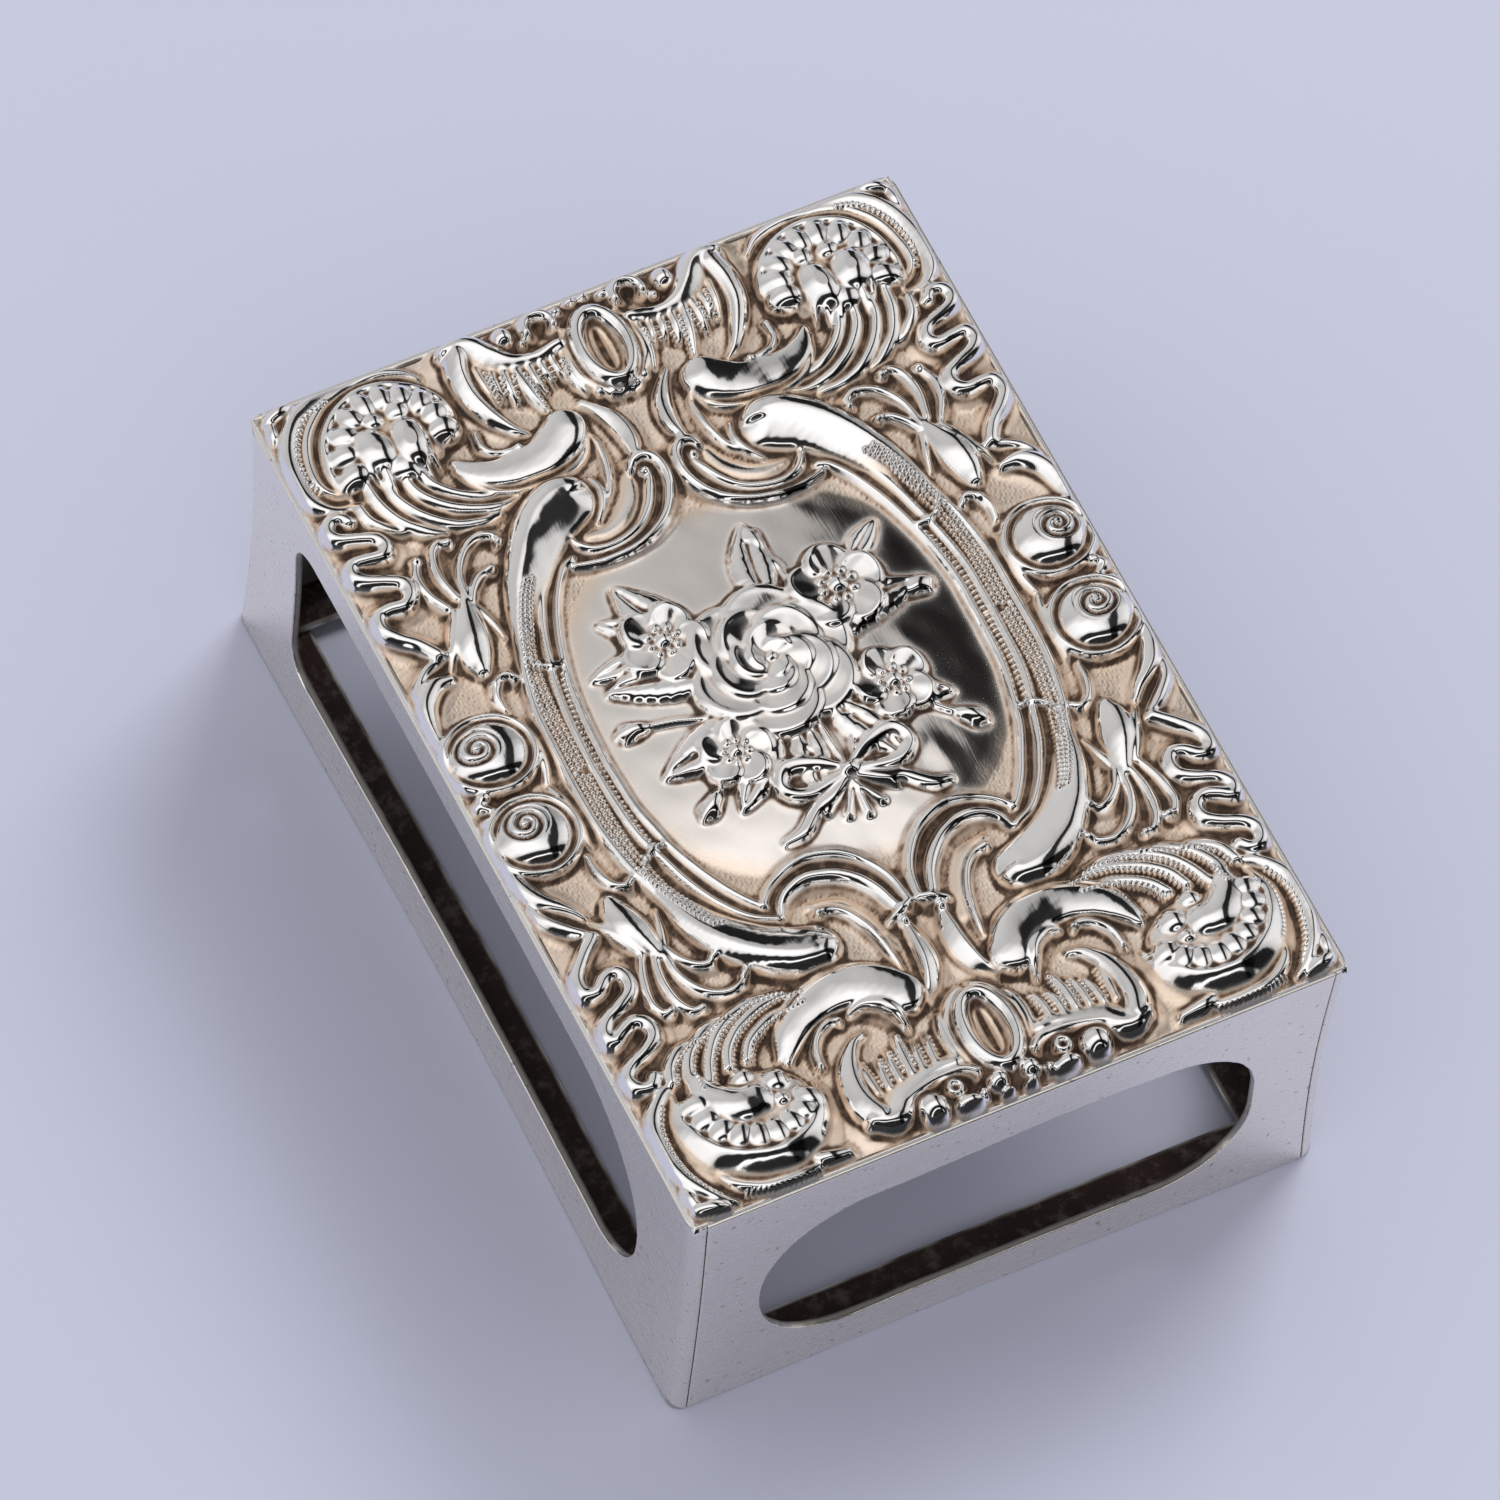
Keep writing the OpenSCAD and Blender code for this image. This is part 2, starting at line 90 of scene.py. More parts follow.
def settle(p):
    """The walls as years of use left them: drawn in by k at half height, and at mid-length lower down.

    x loses k(y, z) * (|x| / 20.15)^3 towards the middle, y likewise, with k = 0.26 sin(pi z / h) plus
    0.32 cos^2(pi y / l) (1 - z / h) for the long walls and half of that for the short ones.
    """
    x, y, z = p[..., 0], p[..., 1], p[..., 2]
    up = np.clip(z / WALL_H, 0, 1)
    waist = 0.26 * np.sin(np.pi * up)
    kx = waist + 0.32 * np.cos(np.pi * np.clip(y / BODY_L, -0.5, 0.5)) ** 2 * (1 - up)
    ky = waist * 0.7 + 0.14 * np.cos(np.pi * np.clip(x / BODY_W, -0.5, 0.5)) ** 2 * (1 - up)
    out = p.copy()
    out[..., 0] = x - np.sign(x) * kx * np.clip(np.abs(x) / (BODY_W / 2), 0, 1) ** 3
    out[..., 1] = y - np.sign(y) * ky * np.clip(np.abs(y) / (BODY_L / 2), 0, 1) ** 3
    return out


def window_line(left, right, low, high, radii, hump=0.0, seed=1):
    """Outline of a filed window: a box from left to right and low to high with four corner radii.

    The corners go anticlockwise from the lower right. hump lifts the upper edge, and the saw and
    file leave it wandering by a few hundredths.
    """
    centres = [(right - radii[0], low + radii[0]), (right - radii[1], high - radii[1]),
               (left + radii[2], high - radii[2]), (left + radii[3], low + radii[3])]
    parts = []
    for k in range(4):
        a = np.radians(np.linspace(-90, 0, 60) + 90 * k)
        arc = np.stack([centres[k][0] + radii[k] * np.cos(a), centres[k][1] + radii[k] * np.sin(a)], 1)
        parts.append(arc)
    line = np.vstack(parts + [parts[0][:1]])
    run = np.concatenate([[0], np.cumsum(np.hypot(*np.diff(line, axis=0).T))])
    t = np.linspace(0, run[-1], 1500)
    s, z = np.interp(t, run, line[:, 0]), np.interp(t, run, line[:, 1])
    middle = (low + high) / 2
    z = z + hump * np.clip((z - middle) / (high - middle), 0, 1) * np.exp(-((s - 0.25 * right) / 7) ** 2)
    rough = 0.05 * waves(s, z, 6.0, seed) + 0.022 * waves(s, z, 0.9, seed + 1)
    return s + rough * np.sign(s - (left + right) / 2), z + rough * np.sign(z - middle)


def sheet_with_window(window, half_s, low, high):
    """Closed grid of a flat sheet with one hole: rows go round the hole, columns round the section.

    A row's angle a gives its point on the window's edge and, further out on the same ray, its point
    on the sheet's edge. Columns run over the face, round the sheet's edge, and back over the reverse
    to the rounded window edge. Returns s along the wall, z upward, and n, the depth from the face.
    """
    ws, wz = window
    cs, cz = 0.5 * (ws.min() + ws.max()), 0.5 * (wz.min() + wz.max())
    angle = np.unwrap(np.arctan2(wz - cz, ws - cs))
    corners = np.arctan2([low - cz, high - cz, high - cz, low - cz],
                         [half_s - cs, half_s - cs, -half_s - cs, -half_s - cs])
    start = angle[0]
    near = (corners[:, None] + np.linspace(-0.03, 0.03, 17)[None, :]).ravel()
    a = np.concatenate([np.interp(np.linspace(0, 1, 760, endpoint=False), np.linspace(0, 1, len(angle)), angle),
                        start + np.mod(near - start, 2 * np.pi)])
    a = np.unique(a)
    inner = np.stack([np.interp(a, angle, ws), np.interp(a, angle, wz)], 1)
    ray = inner - [cs, cz]
    reach = np.minimum(np.where(ray[:, 0] > 0, half_s - cs, half_s + cs) / np.maximum(np.abs(ray[:, 0]), 1e-6),
                       np.where(ray[:, 1] > 0, high - cz, cz - low) / np.maximum(np.abs(ray[:, 1]), 1e-6))
    outer = [cs, cz] + ray * reach[:, None]
    away = ray / np.linalg.norm(ray, axis=1)[:, None]
    arris = 0.09
    quarter = np.radians(np.linspace(0, 90, 5))
    # shares of the way from window to edge, an inset from that edge, and depth
    face = [(w, 0.0, 0.0) for w in np.linspace(0.0, 1.0, 30) ** 1.15]
    columns = []
    for w, _, _ in face:
        columns.append((w, arris * (1 - 2 * w), 0.0))
    for q in quarter[1:]:
        columns.append((1.0, -arris * (1 - math.sin(q)), arris * (1 - math.cos(q))))
    for q in quarter[:-1]:
        columns.append((1.0, -arris * (1 - math.cos(q)), SHEET - arris * (1 - math.sin(q))))
    for w in np.linspace(1.0, 0.0, 12):
        columns.append((w, arris * (1 - 2 * w), SHEET))
    for q in quarter[1:]:
        columns.append((0.0, arris * (1 - math.sin(q)), SHEET - arris * (1 - math.cos(q))))
    for q in quarter[:-1]:
        columns.append((0.0, arris * (1 - math.cos(q)), arris * (1 - math.sin(q))))
    w, inset, depth = np.array(columns).T
    at = inner[:, None, :] + (outer - inner)[:, None, :] * w[None, :, None] + away[:, None, :] * inset[None, :, None]
    # an inset along a slanted ray must not leave the sheet's own edges
    at[..., 0] = np.clip(at[..., 0], -half_s, half_s)
    at[..., 1] = np.clip(at[..., 1], low, high)
    return at[..., 0], at[..., 1], np.broadcast_to(depth, at.shape[:2])


def wrap_corner(s, z, n, side):
    """Bends a flat sheet round the upright corners: straight to |s| = l/2 - r, then a quarter turn of r."""
    straight = BODY_L / 2 - CORNER_R
    a = np.clip((np.abs(s) - straight) / CORNER_R, 0, None)
    x = BODY_W / 2 - CORNER_R + (CORNER_R - n) * np.cos(a)
    y = np.minimum(np.abs(s), straight) + (CORNER_R - n) * np.sin(a)
    return np.stack([side * x, np.sign(s) * y, z], -1)


# Finish of the walls
# Sterling sheet, rubbed satin with fine pumice: pale grey, brushed lengthwise, with old scratches
# and pin-prick pits. The reverse was never cleaned, and is brown-black with mottled sulphide.


def group_of(name, outputs):
    """An empty node group with the named outputs, all of them plain values or colours."""
    tree = bpy.data.node_groups.new(name, "ShaderNodeTree")
    for label, kind in outputs:
        tree.interface.new_socket(label, in_out="OUTPUT", socket_type=kind)
    return tree


def put(tree, kind, settings=None, **inputs):
    """Adds a node, sets its properties, and sets or wires the inputs by name, spaces as underscores."""
    made = tree.nodes.new("ShaderNode" + kind)
    for key, value in (settings or {}).items():
        setattr(made, key, value)
    for key, value in inputs.items():
        label = int(key[1:]) if key[0] == "i" and key[1:].isdigit() else key.replace("_", " ")
        socket = made.inputs[label]
        if isinstance(value, bpy.types.NodeSocket):
            tree.links.new(value, socket)
        else:
            socket.default_value = value
    return made


def ramp(tree, value, stops):
    """Colour ramp node through (place, colour) stops, grey where the colour is a single number."""
    made = put(tree, "ValToRGB", Fac=value)
    bar = made.color_ramp
    while len(bar.elements) < len(stops):
        bar.elements.new(0.5)
    for element, (place, colour) in zip(bar.elements, stops):
        element.position = place
        element.color = (colour,) * 3 + (1,) if isinstance(colour, (int, float)) else tuple(colour) + (1,)
    return made.outputs["Color"]


def mix(tree, share, a, b):
    """Colour mix from a to b by share."""
    made = put(tree, "MixRGB", Fac=share)
    for socket, value in ((made.inputs[1], a), (made.inputs[2], b)):
        if isinstance(value, bpy.types.NodeSocket):
            tree.links.new(value, socket)
        else:
            socket.default_value = tuple(value) + (1,)
    return made.outputs[0]


def sum_of(tree, operation, a, b=0.0, clamp=False):
    """Math node on two values or sockets."""
    return put(tree, "Math", {"operation": operation, "use_clamp": clamp}, i0=a, i1=b).outputs[0]


def noise(tree, place, scale, detail=3.0, rough=0.55, warp=0.0):
    """Noise texture value at a place, with its scale in turns per metre."""
    return put(tree, "TexNoise", Vector=place, Scale=scale, Detail=detail, Roughness=rough,
               Distortion=warp).outputs["Fac"]


def stretched(tree, place, x, y, z):
    """Coordinates scaled apart in x, y and z, so that a noise becomes streaks."""
    return put(tree, "VectorMath", {"operation": "MULTIPLY"}, i0=place, i1=(x, y, z)).outputs[0]


def worn_silver(name, streak, tint, smooth=0.27, rub=0.12):
    """Satin sheet silver on its face, tarnished black-brown where the tarnish attribute is 1."""
    material = bpy.data.materials.new(name)
    material.use_nodes = True
    tree = material.node_tree
    tree.nodes.clear()
    place = put(tree, "TexCoord").outputs["Object"]
    brush = noise(tree, stretched(tree, place, *streak), 260, 4, 0.7)
    patch = noise(tree, place, 210, 4, 0.6)
    fine = noise(tree, place, 2600, 3, 0.6)
    pits = ramp(tree, noise(tree, place, 2300, 2, 0.5), [(0.27, 1), (0.33, 0)])
    old = put(tree, "Attribute", {"attribute_name": "tarnish"}).outputs["Fac"]
    specks = ramp(tree, noise(tree, place, 900, 5, 0.75), [(0.50, 0), (0.66, 1)])
    clean = mix(tree, patch, [c * 0.93 for c in tint], tint)
    clean = mix(tree, sum_of(tree, "MULTIPLY", pits, 0.5), clean, (0.12, 0.10, 0.09))
    brown = mix(tree, patch, (0.010, 0.007, 0.006), (0.055, 0.030, 0.024))
    brown = mix(tree, sum_of(tree, "MULTIPLY", specks, 0.3), brown, (0.30, 0.25, 0.22))
    base = mix(tree, old, clean, brown)
    gloss = sum_of(tree, "MULTIPLY_ADD", brush, rub)
    gloss.node.inputs[2].default_value = smooth - rub / 2
    gloss = sum_of(tree, "ADD", gloss, sum_of(tree, "MULTIPLY", old, 0.22))
    shape = sum_of(tree, "ADD", brush, sum_of(tree, "MULTIPLY", fine, 0.5))
    shape = sum_of(tree, "SUBTRACT", shape, sum_of(tree, "MULTIPLY", pits, 1.2))
    bump = put(tree, "Bump", Strength=0.13, Distance=0.00002, Height=shape)
    metal = sum_of(tree, "SUBTRACT", 1.0, sum_of(tree, "MULTIPLY", old, 0.75))
    shader = put(tree, "BsdfPrincipled", Base_Color=base, Metallic=metal, Roughness=gloss,
                 Normal=bump.outputs[0])
    put(tree, "OutputMaterial", Surface=shader.outputs[0])
    return material


def tarnish(piece, values):
    """Stores how far each point of a piece is tarnished, from 0 to 1."""
    layer = piece.data.attributes.new("tarnish", "FLOAT", "POINT")
    layer.data.foreach_set("value", np.asarray(values, np.float32).ravel())
    return piece


long_silver = worn_silver("satin_silver_long", (14.0, 0.9, 14.0), (0.90, 0.86, 0.80))
end_silver = worn_silver("satin_silver_end", (0.9, 14.0, 14.0), (0.92, 0.88, 0.82))

half_sheet = BODY_L / 2 - CORNER_R + CORNER_R * math.pi / 2
for side, word in ((-1, "left"), (1, "right")):
    hole = window_line(-22.3, 22.2, 4.05, 17.6, (2.2, 2.8, 8.4, 4.6), 0.1, 11 + side)
    s, z, n = sheet_with_window(hole, half_sheet - 0.03, 0.0, WALL_H)
    wall = make_piece("side_wall_" + word, settle(wrap_corner(s, z, n, side)),
                      grid_faces(*s.shape, True, True), long_silver,
                      ["side_wall_" + word])
    tarnish(wall, np.clip((n - 0.12) / 0.3, 0, 1) * (0.9 + 0.1 * waves(s, z, 5, 3)))

# End walls
# Each short wall is a flat piece of the same sheet, set between the bent ends of the long walls
# and soldered there. The joint shows as a fine dark line beside the corner.

for side, word in ((-1, "front"), (1, "rear")):
    hole = window_line(-15.35, 15.35, 2.9, 16.45, (5.6, 5.9, 6.6, 6.4), 0.45, 21 + side)
    s, z, n = sheet_with_window(hole, BODY_W / 2 - CORNER_R - 0.03, 0.0, WALL_H)
    flat = np.stack([s, side * (BODY_L / 2 - n), z], -1)
    wall = make_piece("end_wall_" + word, settle(flat), grid_faces(*s.shape, True, True),
                      end_silver, ["end_wall_" + word])
    tarnish(wall, np.clip((n - 0.12) / 0.3, 0, 1) * (0.9 + 0.1 * waves(s, z, 5, 4)))

# Feet
# The lower edge of each wall turns inward as a narrow flange that the matchbox rests on. Those of
# the ends lie over those of the sides and are soldered down. They are black with tarnish, and
# their free edges are rubbed bright.


def bar(name, start, end, low, high, nodes, material, seed):
    """Flat strip between two edge lines, given as (x, y) rows of equal length, with a soft free edge.

    The section goes round once: over the top from the wall to the free edge, and back below.
    """
    steps = 220
    t = np.linspace(0, 1, steps)[:, None]
    a = np.array(start[0])[None, :] * (1 - t) + np.array(start[1])[None, :] * t
    b = np.array(end[0])[None, :] * (1 - t) + np.array(end[1])[None, :] * t
    b = b + 0.07 * waves(a[:, :1], a[:, 1:], 11, seed) * (b - a) / 3.0
    across = np.array([0, .12, .25, .4, .55, .7, .82, .9, .955, .985, 1, 1, .985, .955, .9, .7, .4, 0])
    lift = np.array([1, 1, 1, 1, 1, 1, 1, 1, .97, .88, .7, .3, .12, .03, 0, 0, 0, 0])
    p = a[:, None, :] + (b - a)[:, None, :] * across[None, :, None]
    z = np.broadcast_to(low + (high - low) * lift, p.shape[:2])
    z = z + np.where(lift > 0.5, 0.035 * waves(p[..., 0], p[..., 1], 7, seed + 1), 0)
    points = settle(np.concatenate([p, z[..., None]], -1))
    count = len(across)
    ends = [range(count)[::-1], range((steps - 1) * count, steps * count)]
    strip = make_piece(name, points, grid_faces(steps, count, False, True), material,
                       nodes, ends)
    rubbed = np.clip((across - 0.9) / 0.08, 0, 1)[None, :] * np.ones((steps, 1))
    rubbed = rubbed * np.clip(0.5 + 0.9 * waves(p[..., 0], p[..., 1], 3, seed + 2), 0.1, 1)
    return tarnish(strip, 1 - 0.85 * rubbed)


for side, word in ((-1, "left"), (1, "right")):
    edge, free = side * (BODY_W / 2 - 0.3), side * (BODY_W / 2 - 3.2)
    bar("foot_" + word, [(edge, -28.1), (edge, 28.1)], [(free, -28.1), (free, 28.1)], 0.02, 0.5,
        ["side_wall_" + word], long_silver, 31 + side)
for side, word in ((-1, "front"), (1, "rear")):
    edge, free = side * (BODY_L / 2 - 0.3), side * (BODY_L / 2 - 3.2)
    bar("foot_" + word, [(-17.8, edge), (17.8, edge)], [(-17.8, free), (17.8, free)], 0.49, 1.0,
        ["end_wall_" + word], end_silver, 41 + side)

# Solder
# The upright joints and the seam under the plate hold fillets of silver solder, greyer and
# rougher than the sheet, with a pitted skin and dark flux stains.


def solder_skin():
    material = bpy.data.materials.new("silver_solder")
    material.use_nodes = True
    tree = material.node_tree
    tree.nodes.clear()
    place = put(tree, "TexCoord").outputs["Object"]
    grain = noise(tree, place, 1700, 5, 0.7)
    stain = ramp(tree, noise(tree, place, 420, 4, 0.65), [(0.40, 0), (0.62, 1)])
    base = mix(tree, stain, (0.44, 0.42, 0.40), (0.05, 0.035, 0.03))
    bump = put(tree, "Bump", Strength=0.9, Distance=0.00006, Height=grain)
    gloss = sum_of(tree, "MULTIPLY_ADD", grain, 0.3)
    gloss.node.inputs[2].default_value = 0.3
    shader = put(tree, "BsdfPrincipled", Base_Color=base, Metallic=0.85, Roughness=gloss,
                 Normal=bump.outputs[0])
    put(tree, "OutputMaterial", Surface=shader.outputs[0])
    return material


for node in ("corner_solder", "rim_solder"):
    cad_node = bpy.data.objects[node]
    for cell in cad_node.material_slots:
        cell.material = solder_skin()

# Top plate
# One sheet of silver, struck between dies into scrolls, shells, wings and beads in high relief,
# then chased by hand. It is drawn here as a height over a grid, in millimetres above its ground.
# Most forms are mirrored left to right, and many differ between the rear half and the front half.

HX, HY, STEP = 20.0, 28.35, 0.07
xs = np.linspace(-HX, HX, int(round(2 * HX / STEP)) + 1)
ys = np.linspace(-HY, HY, int(round(2 * HY / STEP)) + 1)
X, Y = np.meshgrid(xs, ys)
# the dies were cut by eye, so the drawing wanders a little and the halves never quite match
XW = X + 0.09 * waves(X, Y, 9, 1) + 0.025 * waves(X, Y, 2.4, 3) - 0.42 * (X / HX) ** 7
YW = Y + 0.09 * waves(X, Y, 9, 2) + 0.025 * waves(X, Y, 2.4, 4) - 0.4 * (Y / HY) ** 9
PLACES = {"rear": (np.abs(XW), YW), "front": (np.abs(XW), -YW), "both": (np.abs(XW), np.abs(YW)),
          "whole": (XW, YW)}
plate = np.zeros_like(X)
grain = np.zeros_like(X)
EASE = 0.06
STEEP = 1.3


def smooth_line(points, steps=6):
    """Catmull-Rom curve through every row of points, whose columns are x, y, half width and height."""
    p = np.array(points, float)
    p = np.vstack([2 * p[0] - p[1], p, 2 * p[-1] - p[-2]])
    t = (np.arange(steps) / steps)[:, None]
    out = [0.5 * (2 * b + (c - a) * t + (2 * a - 5 * b + 4 * c - d) * t ** 2 + (3 * b - 3 * c + d - a) * t ** 3)
           for a, b, c, d in zip(p[:-3], p[1:-2], p[2:-1], p[3:])]
    return np.vstack(out + [p[-2:-1]])


def rounded(s):
    """Half-round section."""
    return np.sqrt(np.clip(1 - s * s, 0, 1))


def soft(s):
    """Low swelling section with feathered sides."""
    return np.clip(1 - s * s, 0, 1) ** 1.5


def flat_top(s):
    """Level band with rounded sides."""
    return np.clip(1 - np.abs(s) ** 6, 0, 1)


def hip(k, low):
    """Steep on the right of a crest at k half widths, and on its left a slope down to low, then the edge."""
    def section(s):
        right = np.sqrt(np.clip(1 - ((k - s) / (1 + k)) ** 2, 0, 1))
        m = np.clip((s - k) / (1 - k), 0, 1)
        left = (1 - (1 - low) * np.clip(m / 0.85, 0, 1) ** 1.3) * np.sqrt(np.clip(1 - ((m - 0.8) / 0.2) ** 2 * (m > 0.8), 0, 1))
        return np.where(s < k, right, left)
    return section


def channel(s):
    """A curved trough: high round rim on the right, hollow in the middle, low rim on the left."""
    high = np.sqrt(np.clip(1 - ((s + 0.6) / 0.4) ** 2, 0, 1))
    low = 0.72 * np.sqrt(np.clip(1 - ((s - 0.75) / 0.25) ** 2, 0, 1))
    return np.maximum(np.maximum(high, low), 0.45 * (np.abs(s) < 0.85))


def broad(s):
    """Nearly level band, a little crowned, with short round sides."""
    return (1 - 0.12 * s * s) * np.clip(1 - np.abs(s) ** 7, 0, 1) ** 0.5


def keel(k):
    """Straight-sided ridge, its crest k half widths to the left of the way along."""
    def section(s):
        m = np.abs(np.where(s > k, (s - k) / (1 - k), (s - k) / (1 + k)))
        return np.clip(1 - m ** 1.25, 0, 1)
    return section


def lean(k):
    """Rounded section whose crest lies k half widths to the left of the way along."""
    def section(s):
        m = np.where(s > k, (s - k) / (1 - k), (s - k) / (1 + k))
        return np.sqrt(np.clip(1 - m * m, 0, 1))
    return section


def rise(onto, where, h):
    """Raises the sheet to h at these points, as max(a, b) eased by a fillet of EASE."""
    old = onto[where]
    gap = np.abs(old - h)
    eased = 0.5 * (old + h + np.sqrt(gap * gap + EASE * EASE)) - 0.5 * EASE * np.exp(-gap / EASE)
    onto[where] = np.where(h > 0, eased, old)


def stroke(onto, points, half="both", section=rounded, base=0.0, chase=None, steps=6):
    """Raises a tube along a line: height(along) * section(distance / half width(along))."""
    line = smooth_line(points, steps)
    u, v = PLACES[half]
    reach = 2.2 * line[:, 2].max()
    low, high = line[:, :2].min(0) - reach, line[:, :2].max(0) + reach
    where = np.nonzero((u > low[0]) & (u < high[0]) & (v > low[1]) & (v < high[1]))
    px, py = u[where], v[where]
    near = np.full(px.shape, 9.0)
    turn, tall, along = np.zeros_like(px), np.zeros_like(px), np.zeros_like(px)
    run = np.concatenate([[0], np.cumsum(np.hypot(*np.diff(line[:, :2], axis=0).T))])
    for a, b, start in zip(line[:-1], line[1:], run):
        dx, dy = b[0] - a[0], b[1] - a[1]
        t = np.clip(((px - a[0]) * dx + (py - a[1]) * dy) / max(dx * dx + dy * dy, 1e-9), 0, 1)
        ex, ey = px - a[0] - dx * t, py - a[1] - dy * t
        d = np.hypot(ex, ey) / np.maximum(a[2] + (b[2] - a[2]) * t, 1e-3)
        better = d < near
        near = np.where(better, d, near)
        turn = np.where(better, np.sign(dx * ey - dy * ex), turn)
        tall = np.where(better, a[3] + (b[3] - a[3]) * t, tall)
        along = np.where(better, start + math.hypot(dx, dy) * t, along)
    s = near * turn
    wide = np.interp(along, run, line[:, 2])
    crest = np.minimum(tall, STEEP * wide)
    h = base + (tall - crest) * soft(near / 2.2) + crest * section(np.clip(s, -1, 1)) * (near < 1)
    if chase:
        h = h + chase(s, along)
    rise(onto, where, np.where(near < 2.2, h, 0))


def dome(onto, cx, cy, rx, ry, h, half="both", turn=0.0, base=0.0, power=2.0):
    """Raises a button: base + h * sqrt(1 - r^power), with r in the turned ellipse's own radii."""
    u, v = PLACES[half]
    reach = max(rx, ry)
    where = np.nonzero((np.abs(u - cx) < reach) & (np.abs(v - cy) < reach))
    px, py = u[where] - cx, v[where] - cy
    c, s = math.cos(math.radians(turn)), math.sin(math.radians(turn))
    r = np.hypot((px * c + py * s) / rx, (py * c - px * s) / ry)
    rise(onto, where, np.where(r < 1, base + h * np.sqrt(np.clip(1 - r ** power, 0, 1)), 0))


def beads(onto, points, gap, r, h, half="both"):
    """A row of punched beads along a line, gap apart."""
    line = smooth_line([(x, y, r, h) for x, y in points], 10)
    run = np.concatenate([[0], np.cumsum(np.hypot(*np.diff(line[:, :2], axis=0).T))])
    for t in np.arange(0, run[-1], gap):
        dome(onto, np.interp(t, run, line[:, 0]), np.interp(t, run, line[:, 1]), r, r, h, half)


def line_of(points, w, h, taper=1.0):
    """Rows for stroke from bare points: half width w and height h, thinned at both ends by taper."""
    k = np.sin(np.pi * np.linspace(0.12, 0.88, len(points))) ** 0.6
    k = 1 - taper * (1 - k)
    return [(x, y, w * m, h * (0.4 + 0.6 * m)) for (x, y), m in zip(points, k)]

# Cartouche round the panel: an outer ridge, a granulated floor, two fine inner ridges with a row of
# beads, and at each corner a heavy scroll whose crest runs along its outer third.
stroke(plate, [(13.9, 0, .28, .66), (13.8, 3.5, .28, .66), (13.4, 6.2, .28, .7), (12.8, 8.4, .28, .75),
               (12.4, 9.8, .26, .7)])
stroke(plate, [(13.25, 0, .62, .3), (13.15, 4, .62, .3), (12.75, 7, .6, .3), (12.1, 9.2, .5, .3)],
       section=flat_top)
stroke(plate, [(13.0, 7.4, .3, .5), (12.2, 9.2, .75, .85), (11.2, 11.2, 1.2, 1.1), (9.95, 13.1, 1.5, 1.35),
               (8.5, 14.8, 1.75, 1.5), (7.2, 15.7, 1.85, 1.58), (6.25, 16.0, 1.65, 1.55)], "rear", hip(-.35, .5))
stroke(plate, [(13.0, 7.2, .3, .5), (12.3, 9.2, .7, .85), (11.5, 11.2, 1.15, 1.15), (10.35, 13.0, 1.45, 1.4),
               (8.9, 14.4, 1.65, 1.55), (7.4, 15.2, 1.75, 1.62), (6.3, 15.4, 1.6, 1.6)], "front", hip(-.3, .45))
for half, outer, inner in (
        ("rear", [(12.38, 0), (12.3, 3), (11.98, 5.5), (11.5, 7.5), (10.9, 9.5), (10.0, 11.4), (8.85, 12.9), (7.3, 13.9)],
         [(11.55, 0), (11.47, 3), (11.15, 5.5), (10.6, 7.6), (9.95, 9.5), (9.1, 11.2), (8.25, 12.3), (7.6, 12.65)]),
        ("front", [(12.38, 0), (12.25, 3), (11.98, 5), (11.4, 7), (10.75, 9), (9.8, 10.8), (8.65, 12.2), (7.3, 12.95)],
         [(11.55, 0), (11.4, 3), (11.0, 5), (10.45, 7), (9.75, 8.7), (8.9, 10.3), (7.95, 11.6), (7.6, 11.85)])):
    stroke(plate, [(x, y, .25, .68) for x, y in outer], half)
    stroke(plate, [(x, y, .23, .6) for x, y in inner], half)
beads(grain, [(11.97, 0.1), (11.87, 3), (11.53, 5.3), (11.2, 6.4)], .36, .16, .22)
for k in (0, 1, 2):
    beads(grain, [(13.42 - .31 * k, .1 + .13 * k), (13.32 - .31 * k, 4), (12.92 - .31 * k, 7),
                  (12.3 - .31 * k, 9.2), (11.5 - .27 * k, 11.0), (10.8 - .27 * k, 12.1)], .31, .15, .24)
stroke(plate, [(12.35, 9.0, .18, .78), (12.75, 8.1, .2, .8), (12.45, 7.2, .2, .8), (11.7, 6.75, .2, .8),
               (11.0, 6.8, .18, .74)], "rear")
stroke(plate, [(11.1, 6.1, .18, .74), (11.8, 6.2, .2, .8), (12.55, 6.9, .2, .8), (12.75, 7.7, .2, .8),
               (12.3, 8.6, .2, .8), (12.0, 8.9, .2, .78)], "front")

# Scrolls in the middle of each end: a pair of ridges sweeps from the cartouche to the centre line
# and hooks over, and a blade runs on from there to the crest.
stroke(plate, [(7.7, 12.15, .2, .6), (6.5, 11.8, .28, .7), (5.0, 11.65, .3, .75), (3.6, 11.85, .31, .8),
               (2.4, 12.4, .32, .85), (1.35, 13.3, .34, .9), (.7, 14.4, .36, .95), (.45, 15.4, .38, 1.0),
               (.6, 16.4, .4, 1.05), (1.15, 16.95, .42, 1.05), (1.8, 16.85, .38, 1.0), (2.1, 16.45, .26, .85)], "rear")
stroke(plate, [(7.2, 13.9, .2, .6), (6.85, 13.2, .26, .7), (6.2, 12.65, .29, .76), (5.2, 12.45, .3, .78),
               (4.0, 12.65, .31, .8), (3.0, 13.15, .32, .82), (2.25, 13.95, .32, .86), (1.7, 14.9, .32, .88),
               (1.4, 15.6, .26, .8)], "rear")
stroke(plate, [(6.0, 13.6, .5, .25), (4.4, 13.6, .8, .3), (3.0, 14.6, .8, .32), (2.3, 16.2, .6, .3)], "rear", soft)
dome(plate, 1.5, 16.0, .4, .38, 1.0, "rear")
